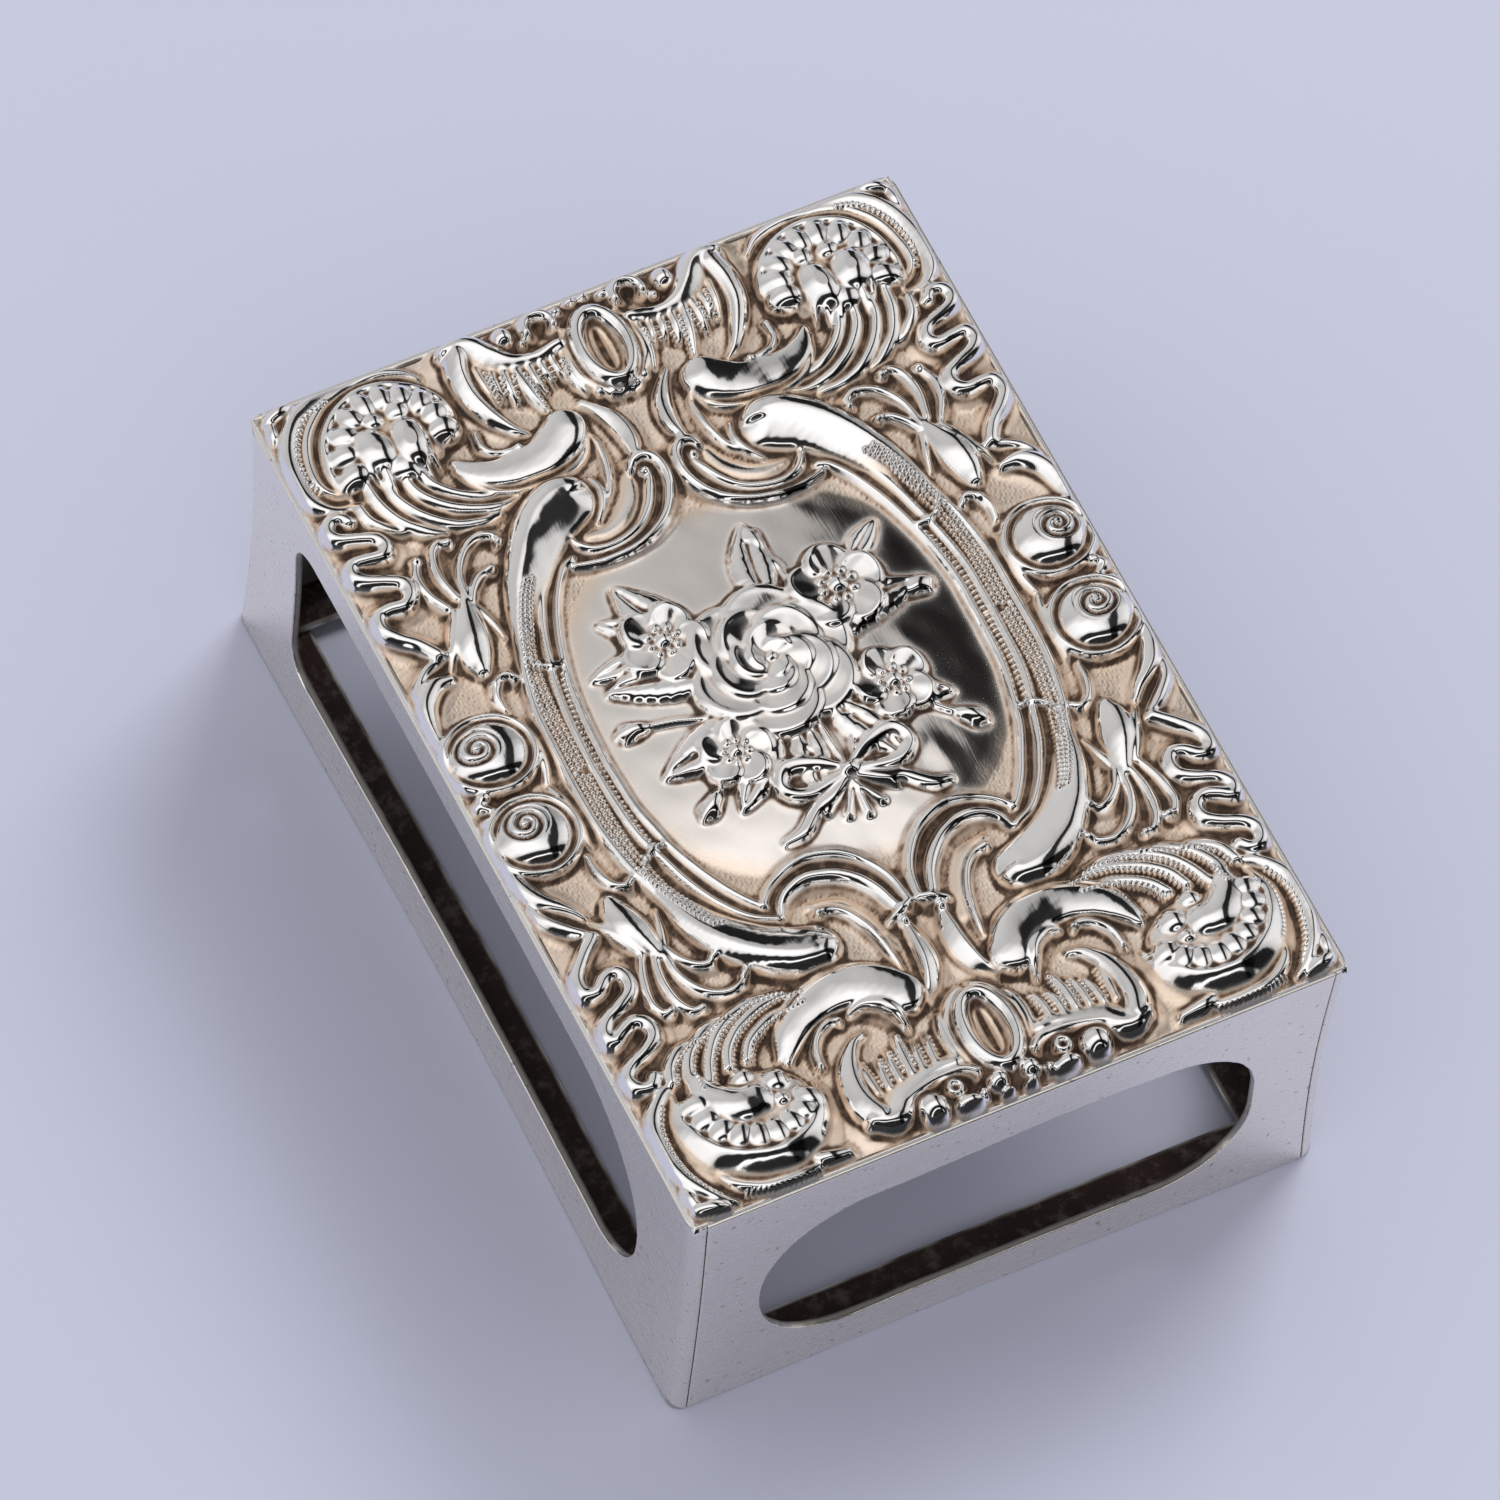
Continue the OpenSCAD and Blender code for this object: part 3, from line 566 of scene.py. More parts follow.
stroke(plate, [(1.5, 17.2, .34, .95), (1.3, 18.3, .6, .95), (1.45, 19.6, .65, .9), (2.0, 20.7, .45, .75),
               (2.7, 21.7, .2, .5)], "rear", hip(.45, .45))
stroke(plate, [(4.6, 14.8, .1, .35), (3.7, 15.9, .2, .55), (3.15, 17.3, .26, .65), (2.95, 18.7, .2, .55),
               (3.0, 19.5, .1, .4)], "rear")
stroke(plate, [(5.15, 14.3, .14, .45), (4.5, 15.1, .22, .65), (4.2, 16.1, .22, .68), (4.4, 17.0, .14, .5)], "rear")
stroke(plate, [(7.8, 11.85, .2, .6), (7.0, 11.0, .28, .72), (5.8, 10.4, .3, .8), (4.5, 10.15, .31, .82),
               (3.2, 10.4, .32, .85), (2.0, 11.1, .32, .88), (1.1, 12.2, .33, .9), (.55, 13.4, .34, .92),
               (.35, 14.7, .34, .95)], "front")
stroke(plate, [(7.1, 12.9, .2, .6), (6.6, 12.0, .34, .9), (5.7, 11.5, .4, 1.05), (4.6, 11.4, .44, 1.1),
               (3.4, 11.8, .45, 1.1), (2.4, 12.6, .44, 1.1), (1.65, 13.7, .4, 1.08), (1.2, 14.9, .36, 1.05)],
       "front", lean(.3))
stroke(plate, [(5.4, 12.8, .4, .25), (3.9, 13.4, .8, .3), (3.0, 15.0, .8, .3), (2.2, 16.8, .6, .25)], "front", soft)
stroke(plate, [(1.7, 15.55, .24, 1.0), (.95, 15.25, .36, 1.2), (.25, 14.95, .26, 1.0)], "front")
dome(plate, 1.15, 15.95, .44, .4, 1.25, "front")
stroke(plate, [(1.1, 16.1, .3, .95), (.95, 17.3, .6, 1.05), (1.0, 18.6, .7, 1.05), (1.4, 19.8, .55, .9),
               (2.1, 20.9, .2, .5)], "front", hip(-.4, .4))
stroke(plate, [(5.1, 13.35, .32, .78), (4.4, 13.5, .28, .7), (3.6, 14.2, .27, .7), (2.95, 15.6, .26, .7),
               (2.65, 17.2, .22, .65), (2.55, 18.5, .12, .45)], "front")
dome(plate, 5.15, 13.4, .38, .36, .92, "front")

# Horns: a broad smooth band that widens to a cut end, with a fine raised edge below it. Under it a
# thin curl ends in two beads, and on the front half the band rolls over into a second lip.
for half, spine, edge, curl in (
        ("rear", [(10.9, 20.9, .3, .6), (10.2, 19.9, .75, .75), (9.0, 19.2, 1.0, .85), (7.5, 19.05, 1.15, .92),
                  (6.0, 19.2, 1.3, 1.02), (4.9, 19.75, 1.45, 1.15), (4.3, 20.3, 1.35, 1.25)],
         [(11.1, 20.5), (10.5, 19.0), (9.2, 17.95), (7.4, 17.6), (5.5, 17.7), (4.0, 18.4), (3.1, 19.6)],
         [(9.1, 22.1), (9.15, 21.2), (8.7, 20.5), (7.9, 20.25), (7.2, 20.3)]),
        ("front", [(10.8, 21.2, .3, .6), (10.2, 20.1, .8, .8), (9.0, 19.1, 1.0, .9), (7.5, 18.5, 1.2, .95),
                   (5.9, 18.45, 1.35, 1.05), (4.5, 19.0, 1.5, 1.2), (3.4, 20.1, 1.4, 1.3)],
         [(11.2, 20.9), (10.6, 19.2), (9.3, 17.85), (7.4, 17.2), (5.4, 17.1), (3.7, 17.7), (2.5, 19.1)],
         [(9.3, 22.1), (9.1, 21.1), (8.5, 20.3), (7.7, 19.95), (7.2, 20.05)])):
    stroke(plate, spine, half, broad)
    stroke(plate, line_of(edge, .2, .72), half)
    stroke(plate, line_of(curl, .24, .85, .3), half)
    dome(plate, *curl[-1], .32, .3, 1.0, half)
    dome(plate, *curl[0], .3, .3, .78, half)
stroke(plate, [(6.5, 19.9, .16, .8), (5.6, 19.85, .36, 1.1), (4.7, 20.3, .46, 1.35), (4.15, 21.1, .4, 1.35),
               (3.95, 21.9, .18, .9)], "front", lean(-.3))

# Crest at the middle of each end: a tall oval ring with a pointed eye, set in a lower arch.
for cy, half in ((24.1, "rear"), (23.9, "front")):
    for w, rx, ry, h in ((.52, 1.35, 2.3, 1.42), (.17, .78, 1.75, .7), (.13, .4, 1.5, .55)):
        a = np.radians(np.linspace(-90, 90, 13))
        stroke(plate, np.stack([rx * np.cos(a), cy + ry * np.sin(a), a * 0 + w, a * 0 + h], 1), half, steps=3)
    a = np.radians(np.linspace(-80, 40, 9))
    stroke(plate, np.stack([2.1 * np.cos(a), cy + 3.0 * np.sin(a), a * 0 + .26, a * 0 + .75], 1), half, steps=3)
for x, y, r in ((0, 21.3, .45), (.8, 21.35, .38), (1.45, 21.7, .32)):
    dome(plate, x, y, r, r, .85, "rear")

# Wings beside it: a thick smooth crescent that narrows to a point below and runs inward above as a
# tapering band with a blunt nose. A few uneven feathers hang from it, their ends hatched.
for half, rim, web, feathers in (
        ("rear", [(6.2, 20.9, .14, .5), (7.0, 21.6, .36, .75), (7.8, 22.8, .58, .98), (8.35, 24.2, .7, 1.15),
                  (8.4, 25.6, .8, 1.3), (8.1, 26.6, .85, 1.4)],
         [(8.3, 26.9, .8, 1.4), (7.3, 26.7, 1.2, 1.38), (6.5, 25.9, 1.2, 1.22), (5.6, 25.2, 1.0, 1.1),
          (4.6, 24.9, .8, 1.0), (3.6, 24.9, .66, 1.02), (2.8, 25.1, .6, 1.15), (2.2, 25.2, .5, 1.2)],
         [(7.3, 25.6, 7.0, 23.3, .34), (6.6, 25.0, 6.5, 23.4, .3), (5.9, 24.8, 5.9, 22.9, .34),
          (5.2, 24.7, 4.6, 21.8, .46), (4.4, 24.6, 4.2, 22.9, .32), (3.7, 24.6, 3.5, 23.3, .28),
          (3.0, 24.7, 2.8, 23.2, .24)]),
        ("front", [(6.2, 21.2, .14, .5), (7.1, 21.6, .38, .75), (7.9, 22.6, .62, .98), (8.35, 23.9, .78, 1.15),
                   (8.4, 25.2, .85, 1.3), (8.0, 26.3, .85, 1.42)],
         [(8.2, 26.3, .7, 1.4), (7.2, 26.3, 1.2, 1.38), (6.4, 25.6, 1.2, 1.15), (5.4, 25.1, 1.0, 1.0),
          (4.4, 24.8, .8, .95), (3.4, 24.7, .66, .98), (2.7, 24.8, .6, 1.05)],
         [(7.3, 25.0, 7.3, 22.7, .34), (6.6, 24.9, 6.3, 22.9, .3), (5.8, 24.7, 5.6, 22.6, .3),
          (5.0, 24.6, 4.7, 21.9, .42), (4.3, 24.6, 4.0, 22.8, .3), (3.5, 24.4, 3.2, 22.6, .26)])):
    for x0, y0, x1, y1, w in feathers:
        stroke(plate, [(x0, y0, w, .85), ((x0 + x1) / 2 + .06, (y0 + y1) / 2, w, .82), (x1, y1, .1, .45)], half, lean(.2))
        beads(grain, [(x0 - .4, y0 - .4), (x1 - .2, y1 + .1)], .3, .14, .2, half)
    stroke(plate, web, half, hip(-.35, .35))
    stroke(plate, rim, half, lean(.3))
stroke(plate, [(6.9, 26.75, .25, 1.3), (6.0, 26.05, .26, 1.2), (4.7, 25.6, .25, 1.12), (3.4, 25.4, .26, 1.12),
               (2.4, 25.5, .3, 1.1), (1.75, 25.9, .3, 1.05)], "front")
for x in (2.4, 2.05):
    stroke(plate, [(x - .3, 21.9, .12, .5), (x, 22.9, .24, .8), (x + .05, 24.1, .26, .85), (x - .15, 25.2, .2, .8)])

# Berries and small leaves between the crest and the edge of the plate.
for half, berries in (("rear", [(5.0, 26.85, .74, .74, 1.3, 0), (4.1, 26.15, .36, .34, .95, 0),
                                (1.45, 27.2, .5, .4, 1.0, 0), (.4, 27.5, .5, .33, .9, 0)]),
                      ("front", [(4.95, 26.95, 1.05, 1.0, 1.7, 0), (2.95, 27.4, 1.05, .6, 1.5, -6),
                                 (1.0, 26.85, .75, .68, 1.45, 0), (.7, 27.6, .55, .36, 1.2, 0), (2.0, 27.2, .36, .5, 1.2, 10)])):
    for x, y, rx, ry, h, turn in berries:
        dome(plate, x, y, rx, ry, h, half, turn)
a = np.radians(np.linspace(-10, 190, 9))
stroke(plate, np.stack([2.75 + .85 * np.cos(a), 26.7 + .75 * np.sin(a), a * 0 + .34, a * 0 + 1.2], 1), "rear", steps=4)
a = np.radians(np.linspace(0, 360, 11))
stroke(plate, np.stack([3.3 + .38 * np.cos(a), 26.3 + .36 * np.sin(a), a * 0 + .2, a * 0 + 1.1], 1), "front", steps=3)

# Corner shells: a ring of round bulbs under a raised lip, with fat smooth folds at the hinge, and
# outside the lip narrow crescents with a row of beads.
for half, bulbs in (
        ("rear", [(16.4, 22.0), (16.3, 23.3), (15.9, 24.4), (15.1, 25.25), (14.1, 25.75), (13.0, 25.75), (12.0, 25.45),
                  (11.2, 24.8), (10.75, 23.9), (10.7, 22.9)]),
        ("front", [(16.6, 21.9), (16.5, 22.9), (16.1, 23.8), (15.4, 24.5), (14.5, 24.9), (13.5, 25.05), (12.5, 24.9),
                   (11.6, 24.5), (10.95, 23.8)])):
    dome(plate, 13.55, 23.4, 3.3, 2.6, 1.1, half, power=3.0)
    for x, y in bulbs:
        turn = math.degrees(math.atan2(y - 22.4, x - 13.5))
        dome(plate, x, y, 1.22, .95, 1.45, half, turn, power=2.2)
for x, y, rx, ry, h, turn in ((14.1, 24.6, .85, .7, 1.5, 0), (12.6, 24.7, .85, .75, 1.5, 0), (15.3, 23.9, .6, .6, 1.4, 0),
                              (14.75, 22.9, 1.4, 1.8, 1.75, -14), (12.75, 22.7, 1.3, 1.95, 1.78, 8),
                              (13.7, 21.6, 1.3, 1.2, 1.4, 0)):
    dome(plate, x, y, rx, ry, h, "rear", turn, power=2.6)
for x, foot in ((15.6, 20.6), (14.9, 20.0), (14.2, 20.4), (13.4, 19.9), (12.7, 20.3), (12.1, 20.9)):
    stroke(plate, [(x, foot + 2.2, .3, 1.4), (x - .1, foot + 1.1, .3, 1.25), (x - .3, foot, .1, .7)], "rear", lean(.2))
stroke(plate, [(16.0, 20.2, .5, 1.0), (15.9, 21.2, .95, 1.3), (15.4, 22.2, 1.3, 1.6), (14.6, 22.9, 1.45, 1.75),
               (13.7, 22.9, 1.3, 1.7)], "front")
for x, y, rx, ry, h, turn in ((12.2, 22.2, 1.05, 1.0, 1.5, 20), (13.7, 21.3, .9, .8, 1.25, 0), (12.4, 23.4, .7, .6, 1.45, 0)):
    dome(plate, x, y, rx, ry, h, "front", turn)
stroke(plate, [(17.0, 20.9, .15, .5), (17.4, 22.2, .3, .9), (17.3, 23.7, .32, 1.05), (16.7, 25.1, .34, 1.15),
               (15.5, 26.2, .34, 1.2), (13.6, 26.75, .34, 1.2), (11.8, 26.35, .32, 1.15), (10.4, 25.3, .3, 1.1),
               (9.8, 24.0, .28, .9), (9.9, 22.9, .15, .5)], "rear", lean(-.3))
stroke(plate, [(17.4, 20.6, .2, .7), (17.9, 22.0, .5, 1.1), (17.7, 23.6, .65, 1.4), (16.9, 25.1, .8, 1.6),
               (15.5, 26.1, .88, 1.7), (13.8, 26.5, .9, 1.72), (12.0, 26.1, .8, 1.6), (10.7, 25.0, .6, 1.4),
               (10.1, 23.8, .4, 1.0), (10.0, 22.9, .15, .5)], "front", keel(.6))
for half, bands in (
        ("rear", [[(16.7, 20.5, .3, .6), (18.2, 20.8, .45, .8), (19.0, 21.9, .55, .95), (19.05, 23.8, .6, 1.0),
                   (18.5, 25.6, .62, 1.0), (17.3, 26.9, .6, 1.0), (15.4, 27.35, .45, .85), (13.8, 27.4, .2, .6)],
                  [(17.1, 21.1, .14, .5), (18.15, 22.3, .34, .8), (18.1, 24.0, .36, .85), (17.5, 25.5, .36, .85),
                   (16.3, 26.7, .34, .85), (14.7, 27.3, .3, .8), (12.8, 27.5, .3, .8), (11.2, 27.2, .26, .7),
                   (10.3, 26.6, .12, .5)]]),
        ("front", [[(16.5, 19.8, .24, .7), (18.0, 20.5, .48, .95), (19.0, 21.9, .56, 1.05), (19.15, 23.7, .56, 1.05),
                    (18.8, 25.4, .5, 1.0), (18.0, 26.8, .4, .9), (17.1, 27.5, .18, .6)],
                   [(17.4, 25.2, .14, .5), (16.8, 26.5, .34, .85), (15.5, 27.3, .38, .9), (13.9, 27.5, .36, .88),
                    (12.4, 27.4, .28, .75), (11.4, 27.1, .12, .5)]])):
    for band in bands:
        stroke(plate, band, half, lean(-.45))
for half, row in (("rear", [(18.4, 22.0), (18.65, 23.2), (18.3, 25.0), (17.2, 26.5), (15.8, 27.0)]),
                  ("front", [(18.2, 21.2), (18.7, 22.4), (18.75, 24.0), (18.3, 25.8), (17.5, 26.9)]),
                  ("front", [(16.4, 27.4), (15.0, 27.75), (13.2, 27.75), (12.0, 27.65)])):
    beads(grain, row, .3, .15, .15, half)
stroke(plate, [(12.3, 26.95, .3, .75), (11.4, 27.15, .45, .95), (10.2, 27.2, .3, .7)], "front")
dome(plate, 18.4, 27.4, 1.15, .5, 1.05, turn=-20)
dome(plate, 19.1, 26.5, .42, .95, .85, turn=12)

# Plumes that fall from the shells: curved channels, each with a bright outer rim, a chased hollow
# and a pointed tip that overlaps the next.
for half, plumes in (
        ("rear", [[(17.0, 20.2), (16.8, 19.2), (16.0, 18.3), (15.1, 17.8)],
                  [(16.1, 21.2), (15.95, 19.9), (15.3, 18.5), (14.2, 17.4), (13.2, 16.9)],
                  [(15.1, 21.0), (14.9, 19.8), (14.1, 18.4), (12.8, 17.3), (11.3, 16.8), (9.9, 16.8)],
                  [(14.0, 20.8), (13.7, 19.7), (12.8, 18.6), (11.4, 17.7), (9.9, 17.3), (8.4, 17.4)],
                  [(13.0, 20.8), (12.7, 19.9), (11.8, 19.0), (10.6, 18.3), (9.2, 17.9)]]),
        ("front", [[(17.2, 19.9), (16.8, 18.9), (16.0, 18.1), (15.0, 17.7)],
                   [(16.3, 20.9), (16.1, 19.6), (15.4, 18.4), (14.2, 17.5), (13.0, 17.1)],
                   [(15.3, 20.7), (14.8, 19.4), (13.9, 18.2), (12.5, 17.3), (11.0, 16.9), (9.6, 16.9)],
                   [(14.1, 20.3), (13.6, 19.2), (12.6, 18.3), (11.2, 17.6), (9.8, 17.3), (8.7, 17.4)],
                   [(13.0, 20.3), (12.4, 19.4), (11.4, 18.7), (10.2, 18.2), (9.0, 18.1)]])):
    for points in plumes:
        count = np.linspace(0, 1, len(points))
        w = np.interp(count, [0, .25, .75, 1], [.36, .44, .4, .12])
        h = np.interp(count, [0, .3, 1], [1.05, .95, .5])
        stroke(plate, [(x, y, a, b) for (x, y), a, b in zip(points, w, h)], half, lean(-.35))
        if half == "front":
            beads(grain, [(x - .38, y + .22) for x, y in points], .3, .14, .2, half)

# Wavy ribbons along both sides: a heavy round cord laid in tight bends.
for half, cord in (
        ("front", [(17.1, 9.9), (18.1, 10.9), (18.9, 12.0), (18.95, 13.0), (18.3, 13.2), (17.6, 12.6), (16.95, 12.45),
                   (16.6, 13.1), (16.75, 13.9), (17.6, 14.5), (18.5, 14.95), (19.0, 15.7), (18.75, 16.3), (18.1, 15.95),
                   (17.3, 15.65), (16.7, 16.1), (16.7, 16.9), (17.4, 17.5), (18.4, 18.0), (19.0, 18.7), (18.85, 19.5),
                   (18.2, 19.7), (17.75, 19.2)]),
        ("rear", [(17.0, 9.8), (17.6, 10.8), (18.4, 11.6), (19.0, 12.5), (18.8, 13.4), (18.1, 13.5), (17.3, 13.4),
                  (16.75, 13.9), (16.8, 14.7), (17.6, 15.2), (18.5, 15.6), (19.05, 16.2), (18.8, 16.9), (18.0, 16.9),
                  (17.1, 16.8), (16.7, 17.3), (17.0, 18.0), (17.9, 18.4), (18.8, 18.8), (19.1, 19.4), (18.8, 20.0),
                  (18.2, 20.1), (17.8, 19.6)])):
    stroke(plate, line_of(cord, .55, 1.2, .25), half, steps=4)

# Flower buds beside the scrolls, each on a sheath leaf, with four curling stems.
stroke(plate, [(15.25, 8.1, .55, .8), (15.2, 9.1, 1.0, 1.1), (14.95, 10.2, 1.12, 1.2), (14.55, 11.4, .8, 1.0),
               (14.25, 12.4, .45, .75)], section=lean(-.15))
stroke(plate, [(16.7, 8.8, .14, .45), (16.15, 9.8, .38, .85), (15.6, 11.0, .4, .9), (15.1, 12.1, .22, .75)])
stroke(plate, [(13.2, 9.5, .12, .35), (13.5, 10.7, .24, .62), (13.8, 11.9, .22, .66)])
for half, stems in (
        ("front", [[(15.2, 11.9), (15.7, 13.3), (15.95, 14.9), (15.6, 15.8), (15.2, 15.8)],
                   [(14.6, 12.2), (14.85, 13.8), (14.7, 15.3), (14.2, 16.2), (13.6, 16.3)],
                   [(14.1, 12.3), (13.9, 13.9), (13.2, 15.2), (12.1, 15.9), (11.1, 15.8), (10.6, 15.3)],
                   [(13.8, 12.1), (13.4, 13.0), (12.7, 13.7), (12.0, 13.9), (11.65, 13.6)]]),
        ("rear", [[(15.3, 12.4), (15.9, 13.6), (16.0, 14.9), (15.6, 15.9)],
                  [(14.6, 12.8), (14.9, 14.4), (14.7, 15.8), (14.1, 16.5), (13.5, 16.3)],
                  [(14.1, 12.6), (13.8, 14.2), (12.9, 15.5), (11.8, 16.0), (11.0, 15.7), (10.9, 15.2)],
                  [(13.9, 12.3), (13.4, 13.1), (12.7, 13.7), (12.05, 13.8)]])):
    for points in stems:
        stroke(plate, line_of(points, .32, .82, .3), half, lean(.25))
        dome(plate, *points[-1], .4, .38, .98, half)

# Round bosses at mid-length, each with a spiral groove in a raised ring.
for half, cy, ex, ey, hand in (("rear", 2.95, .6, .25, 1), ("front", 2.75, .3, -.5, -1)):
    u, v = PLACES[half]
    where = np.nonzero((np.abs(u - 17.15) < 2.9) & (np.abs(v - cy) < 2.9))
    px, py = u[where] - 17.15, v[where] - cy
    r = np.hypot(px, py)
    ring = .92 * np.sqrt(np.clip(1 - ((r - 2.42) / .3) ** 2, 0, 1))
    boss = np.where(r < 2.1, .15 + 1.25 * np.sqrt(np.clip(1 - (r / 2.12) ** 3.4, 0, 1)), 0)
    rise(plate, where, np.maximum(ring, boss))
    away = np.hypot(px - ex, py - ey)
    coil = (away - .12 - .62 * (np.arctan2((py - ey) * hand, px - ex) / 6.283 + .5)) / .62
    cut = .42 * np.exp(-((coil - np.round(coil)) / .2) ** 2) * (away > .14) * np.clip((1.3 - away) / .2, 0, 1)
    grain[where] = grain[where] - np.clip(cut, 0, 1)

# Leaves at the outer edge by the bosses, and small hooks beside the cartouche.
for half, rows, k in (
        ("rear", [(17.0, 8.3, .3, .7), (18.0, 8.15, .58, .95), (18.8, 7.3, .62, 1.0), (19.15, 6.0, .5, .9),
                  (19.2, 4.6, .32, .75), (19.25, 3.2, .2, .5)], .3),
        ("rear", [(16.6, 9.7, .32, .75), (17.9, 9.3, .38, .85), (18.8, 8.4, .3, .8), (19.2, 7.3, .2, .6)], 0),
        ("front", [(19.0, .9, .32, .75), (19.25, 2.0, .28, .7), (19.3, 3.6, .34, .75), (19.1, 5.2, .5, .9),
                   (18.5, 6.6, .58, .95), (17.4, 7.7, .38, .85), (16.9, 8.4, .2, .6)], -.3),
        ("front", [(19.2, 6.7, .2, .6), (18.8, 7.9, .38, .85), (18.0, 8.9, .42, .9), (17.1, 9.7, .34, .85)], 0),
        ("front", [(18.5, .4, .3, .7), (19.0, -.15, .34, .85), (18.5, -.55, .28, .8)], 0),
        ("rear", [(15.15, 5.2, .16, .5), (15.25, 6.3, .28, .72), (14.8, 7.1, .3, .76), (14.2, 7.3, .3, .76),
                  (13.85, 6.9, .26, .7)], 0),
        ("front", [(15.1, 4.9, .16, .5), (15.05, 6.2, .28, .72), (14.65, 7.2, .3, .76), (14.0, 7.6, .3, .76),
                   (13.6, 7.3, .26, .7)], 0),
        ("both", [(15.1, .2, .2, .4), (14.75, 1.4, .32, .6), (14.6, 3.0, .32, .6), (14.75, 4.4, .18, .4)], 0)):
    stroke(plate, rows, half, lean(k))
dome(plate, 15.0, 6.95, .4, .4, .85, "rear")
dome(plate, 18.7, .5, .45, .4, .95, "rear")

# Panel
# The middle of the plate is a polished convex panel with a bouquet of cast-off garden flowers in
# high relief: a rose, three smaller blossoms, buds and leaves, tied with a ribbon bow.

oval = np.clip(1 - (np.abs(X) / 11.6) ** 2.3 - (np.abs(Y - 0.7) / 12.2) ** 2.6, 0, 1)
panel = 0.92 * oval * (1 - 0.1 * oval) + 0.1 * oval ** 0.4
picture = np.zeros_like(X)


def petal(onto, cx, cy, turn, away, r, h, tilt=0.15):
    """Rolled petal: a disc of radius r set away from the centre, h(0.7 + 0.2 a + tilt b), with a raised rim.

    a runs outward and b across, both from -1 to 1.
    """
    c, s = math.cos(turn), math.sin(turn)
    px, py = XW - cx - away * c, YW - cy - away * s
    a, b = (px * c + py * s) / r, (py * c - px * s) / (1.08 * r)
    d = np.hypot(a, b)
    where = np.nonzero(d < 1)
    a, b, d = a[where], b[where], d[where]
    shape = 0.68 + 0.2 * a + tilt * b + 0.13 * np.exp(-((d - 0.84) / 0.11) ** 2) * (a > -0.5)
    shape = shape + 0.03 * np.sin(9 * np.arctan2(b, a + 1.3)) * (a + 1)
    rise(onto, where, h * shape * np.clip(1 - d ** 9, 0, 1) ** 0.5)


def leaf(onto, x0, y0, turn, length, width, h, bend=0.0, veins=6):
    """Veined leaf from (x0, y0): half width w(t) = width sin(pi t^0.85)^0.8, ribbed and notched.

    s is the distance from the midrib over w. Each half swells as sqrt(1 - s^2), with a groove down
    the middle and slanted grooves between the veins.
    """
    c, s = math.cos(math.radians(turn)), math.sin(math.radians(turn))
    px, py = XW - x0, YW - y0
    t = (px * c + py * s) / length
    across = (py * c - px * s) - bend * length * (t - t * t) * 4 * 0.25
    inside = (t > 0) & (t < 1)
    ts = np.clip(t, 0, 1)
    notch = 1 + 0.05 * (np.mod(ts * veins * 1.5, 1) - 0.5)
    w = width * np.sin(np.pi * ts ** 0.85) ** 0.8 * notch + 1e-4
    side = across / w
    where = np.nonzero(inside & (np.abs(side) < 1))
    t, side = t[where], side[where]
    g = np.abs(side)
    body = 0.55 * np.clip(1 - g ** 4, 0, 1) ** 0.5 + 0.35 * np.clip(1 - (g - 0.45) ** 2 / 0.3, 0, 1)
    body = body - 0.42 * np.exp(-(g / 0.07) ** 2)
    body = body - 0.1 * np.clip(np.cos(2 * np.pi * (t * veins - 0.9 * g)), 0, 1) ** 6 * (1 - g) * (g > 0.06)
    edge = np.clip(1 - g ** 10, 0, 1) ** 0.5 * np.clip(np.minimum(t, 1 - t) / 0.05, 0, 1) ** 0.5
    rise(onto, where, h * np.clip(body, 0.05, 2) * edge)


def blossom(onto, cx, cy, r, h, petals=5, turn=0.3):
    """Open flower: a ring of petals round a domed and beaded eye."""
    for k in range(petals):
        a = turn + 2 * math.pi * k / petals
        petal(onto, cx, cy, a, 0.58 * r, 0.48 * r, h, 0.22)
    dome(onto, cx, cy, 0.26 * r, 0.26 * r, h * 1.12, "whole")
    for k in range(8):
        a = turn + 2 * math.pi * k / 8
        dome(onto, cx + 0.33 * r * math.cos(a), cy + 0.33 * r * math.sin(a), 0.085 * r + 0.03, 0.085 * r + 0.03,
             h * 1.08, "whole")


for x0, y0, turn, length, width, h in (
        (-3.4, 4.2, 118, 6.6, 1.55, .62), (-3.8, 2.0, 163, 6.3, 1.5, .62), (-3.4, -0.4, 199, 6.2, 1.5, .6),
        (-2.3, -1.8, 228, 5.9, 1.4, .55), (1.0, 5.2, 80, 5.6, 1.4, .6), (2.9, 2.0, 12, 6.8, 1.5, .62),
        (2.4, -1.0, -27, 6.4, 1.45, .6), (1.0, -2.0, -62, 5.4, 1.3, .55), (-0.9, -2.2, 262, 5.6, 1.2, .5),
        (-5.2, 6.4, 150, 3.6, .8, .5), (6.3, 5.9, 38, 3.6, .8, .5), (-7.0, 5.4, 186, 3.2, .75, .45)):
    leaf(picture, x0, y0, turn, length, width, h, 0.25 * math.sin(x0 * 7))
for points in ([(-2.0, -1.5), (-1.2, -4.0), (-.2, -6.2), (1.2, -8.6)], [(0, -1.5), (.1, -4), (.3, -6.2), (.2, -9.0)],
               [(2.2, -1.5), (1.5, -4.0), (.6, -6.2), (-.9, -8.7)], [(4.2, -2.2), (2.8, -4.4), (.9, -6.2), (-2.0, -8.1)],
               [(-4.6, -2.2), (-2.8, -4.4), (-.4, -6.2), (2.3, -8.0)], [(2.2, 5.2), (2.6, 7.0), (2.1, 8.4)],
               [(-5.5, 0), (-7.2, .6), (-8.6, .9)], [(4.5, 1.5), (6.8, 2.6), (8.4, 2.9)],
               [(-6.8, -4.4), (-5.2, -3.2), (-3.6, -1.4)], [(7.4, -5.0), (5.6, -3.4), (3.2, -1.2)]):
    stroke(picture, [(x, y, .17, .42) for x, y in points], "whole")
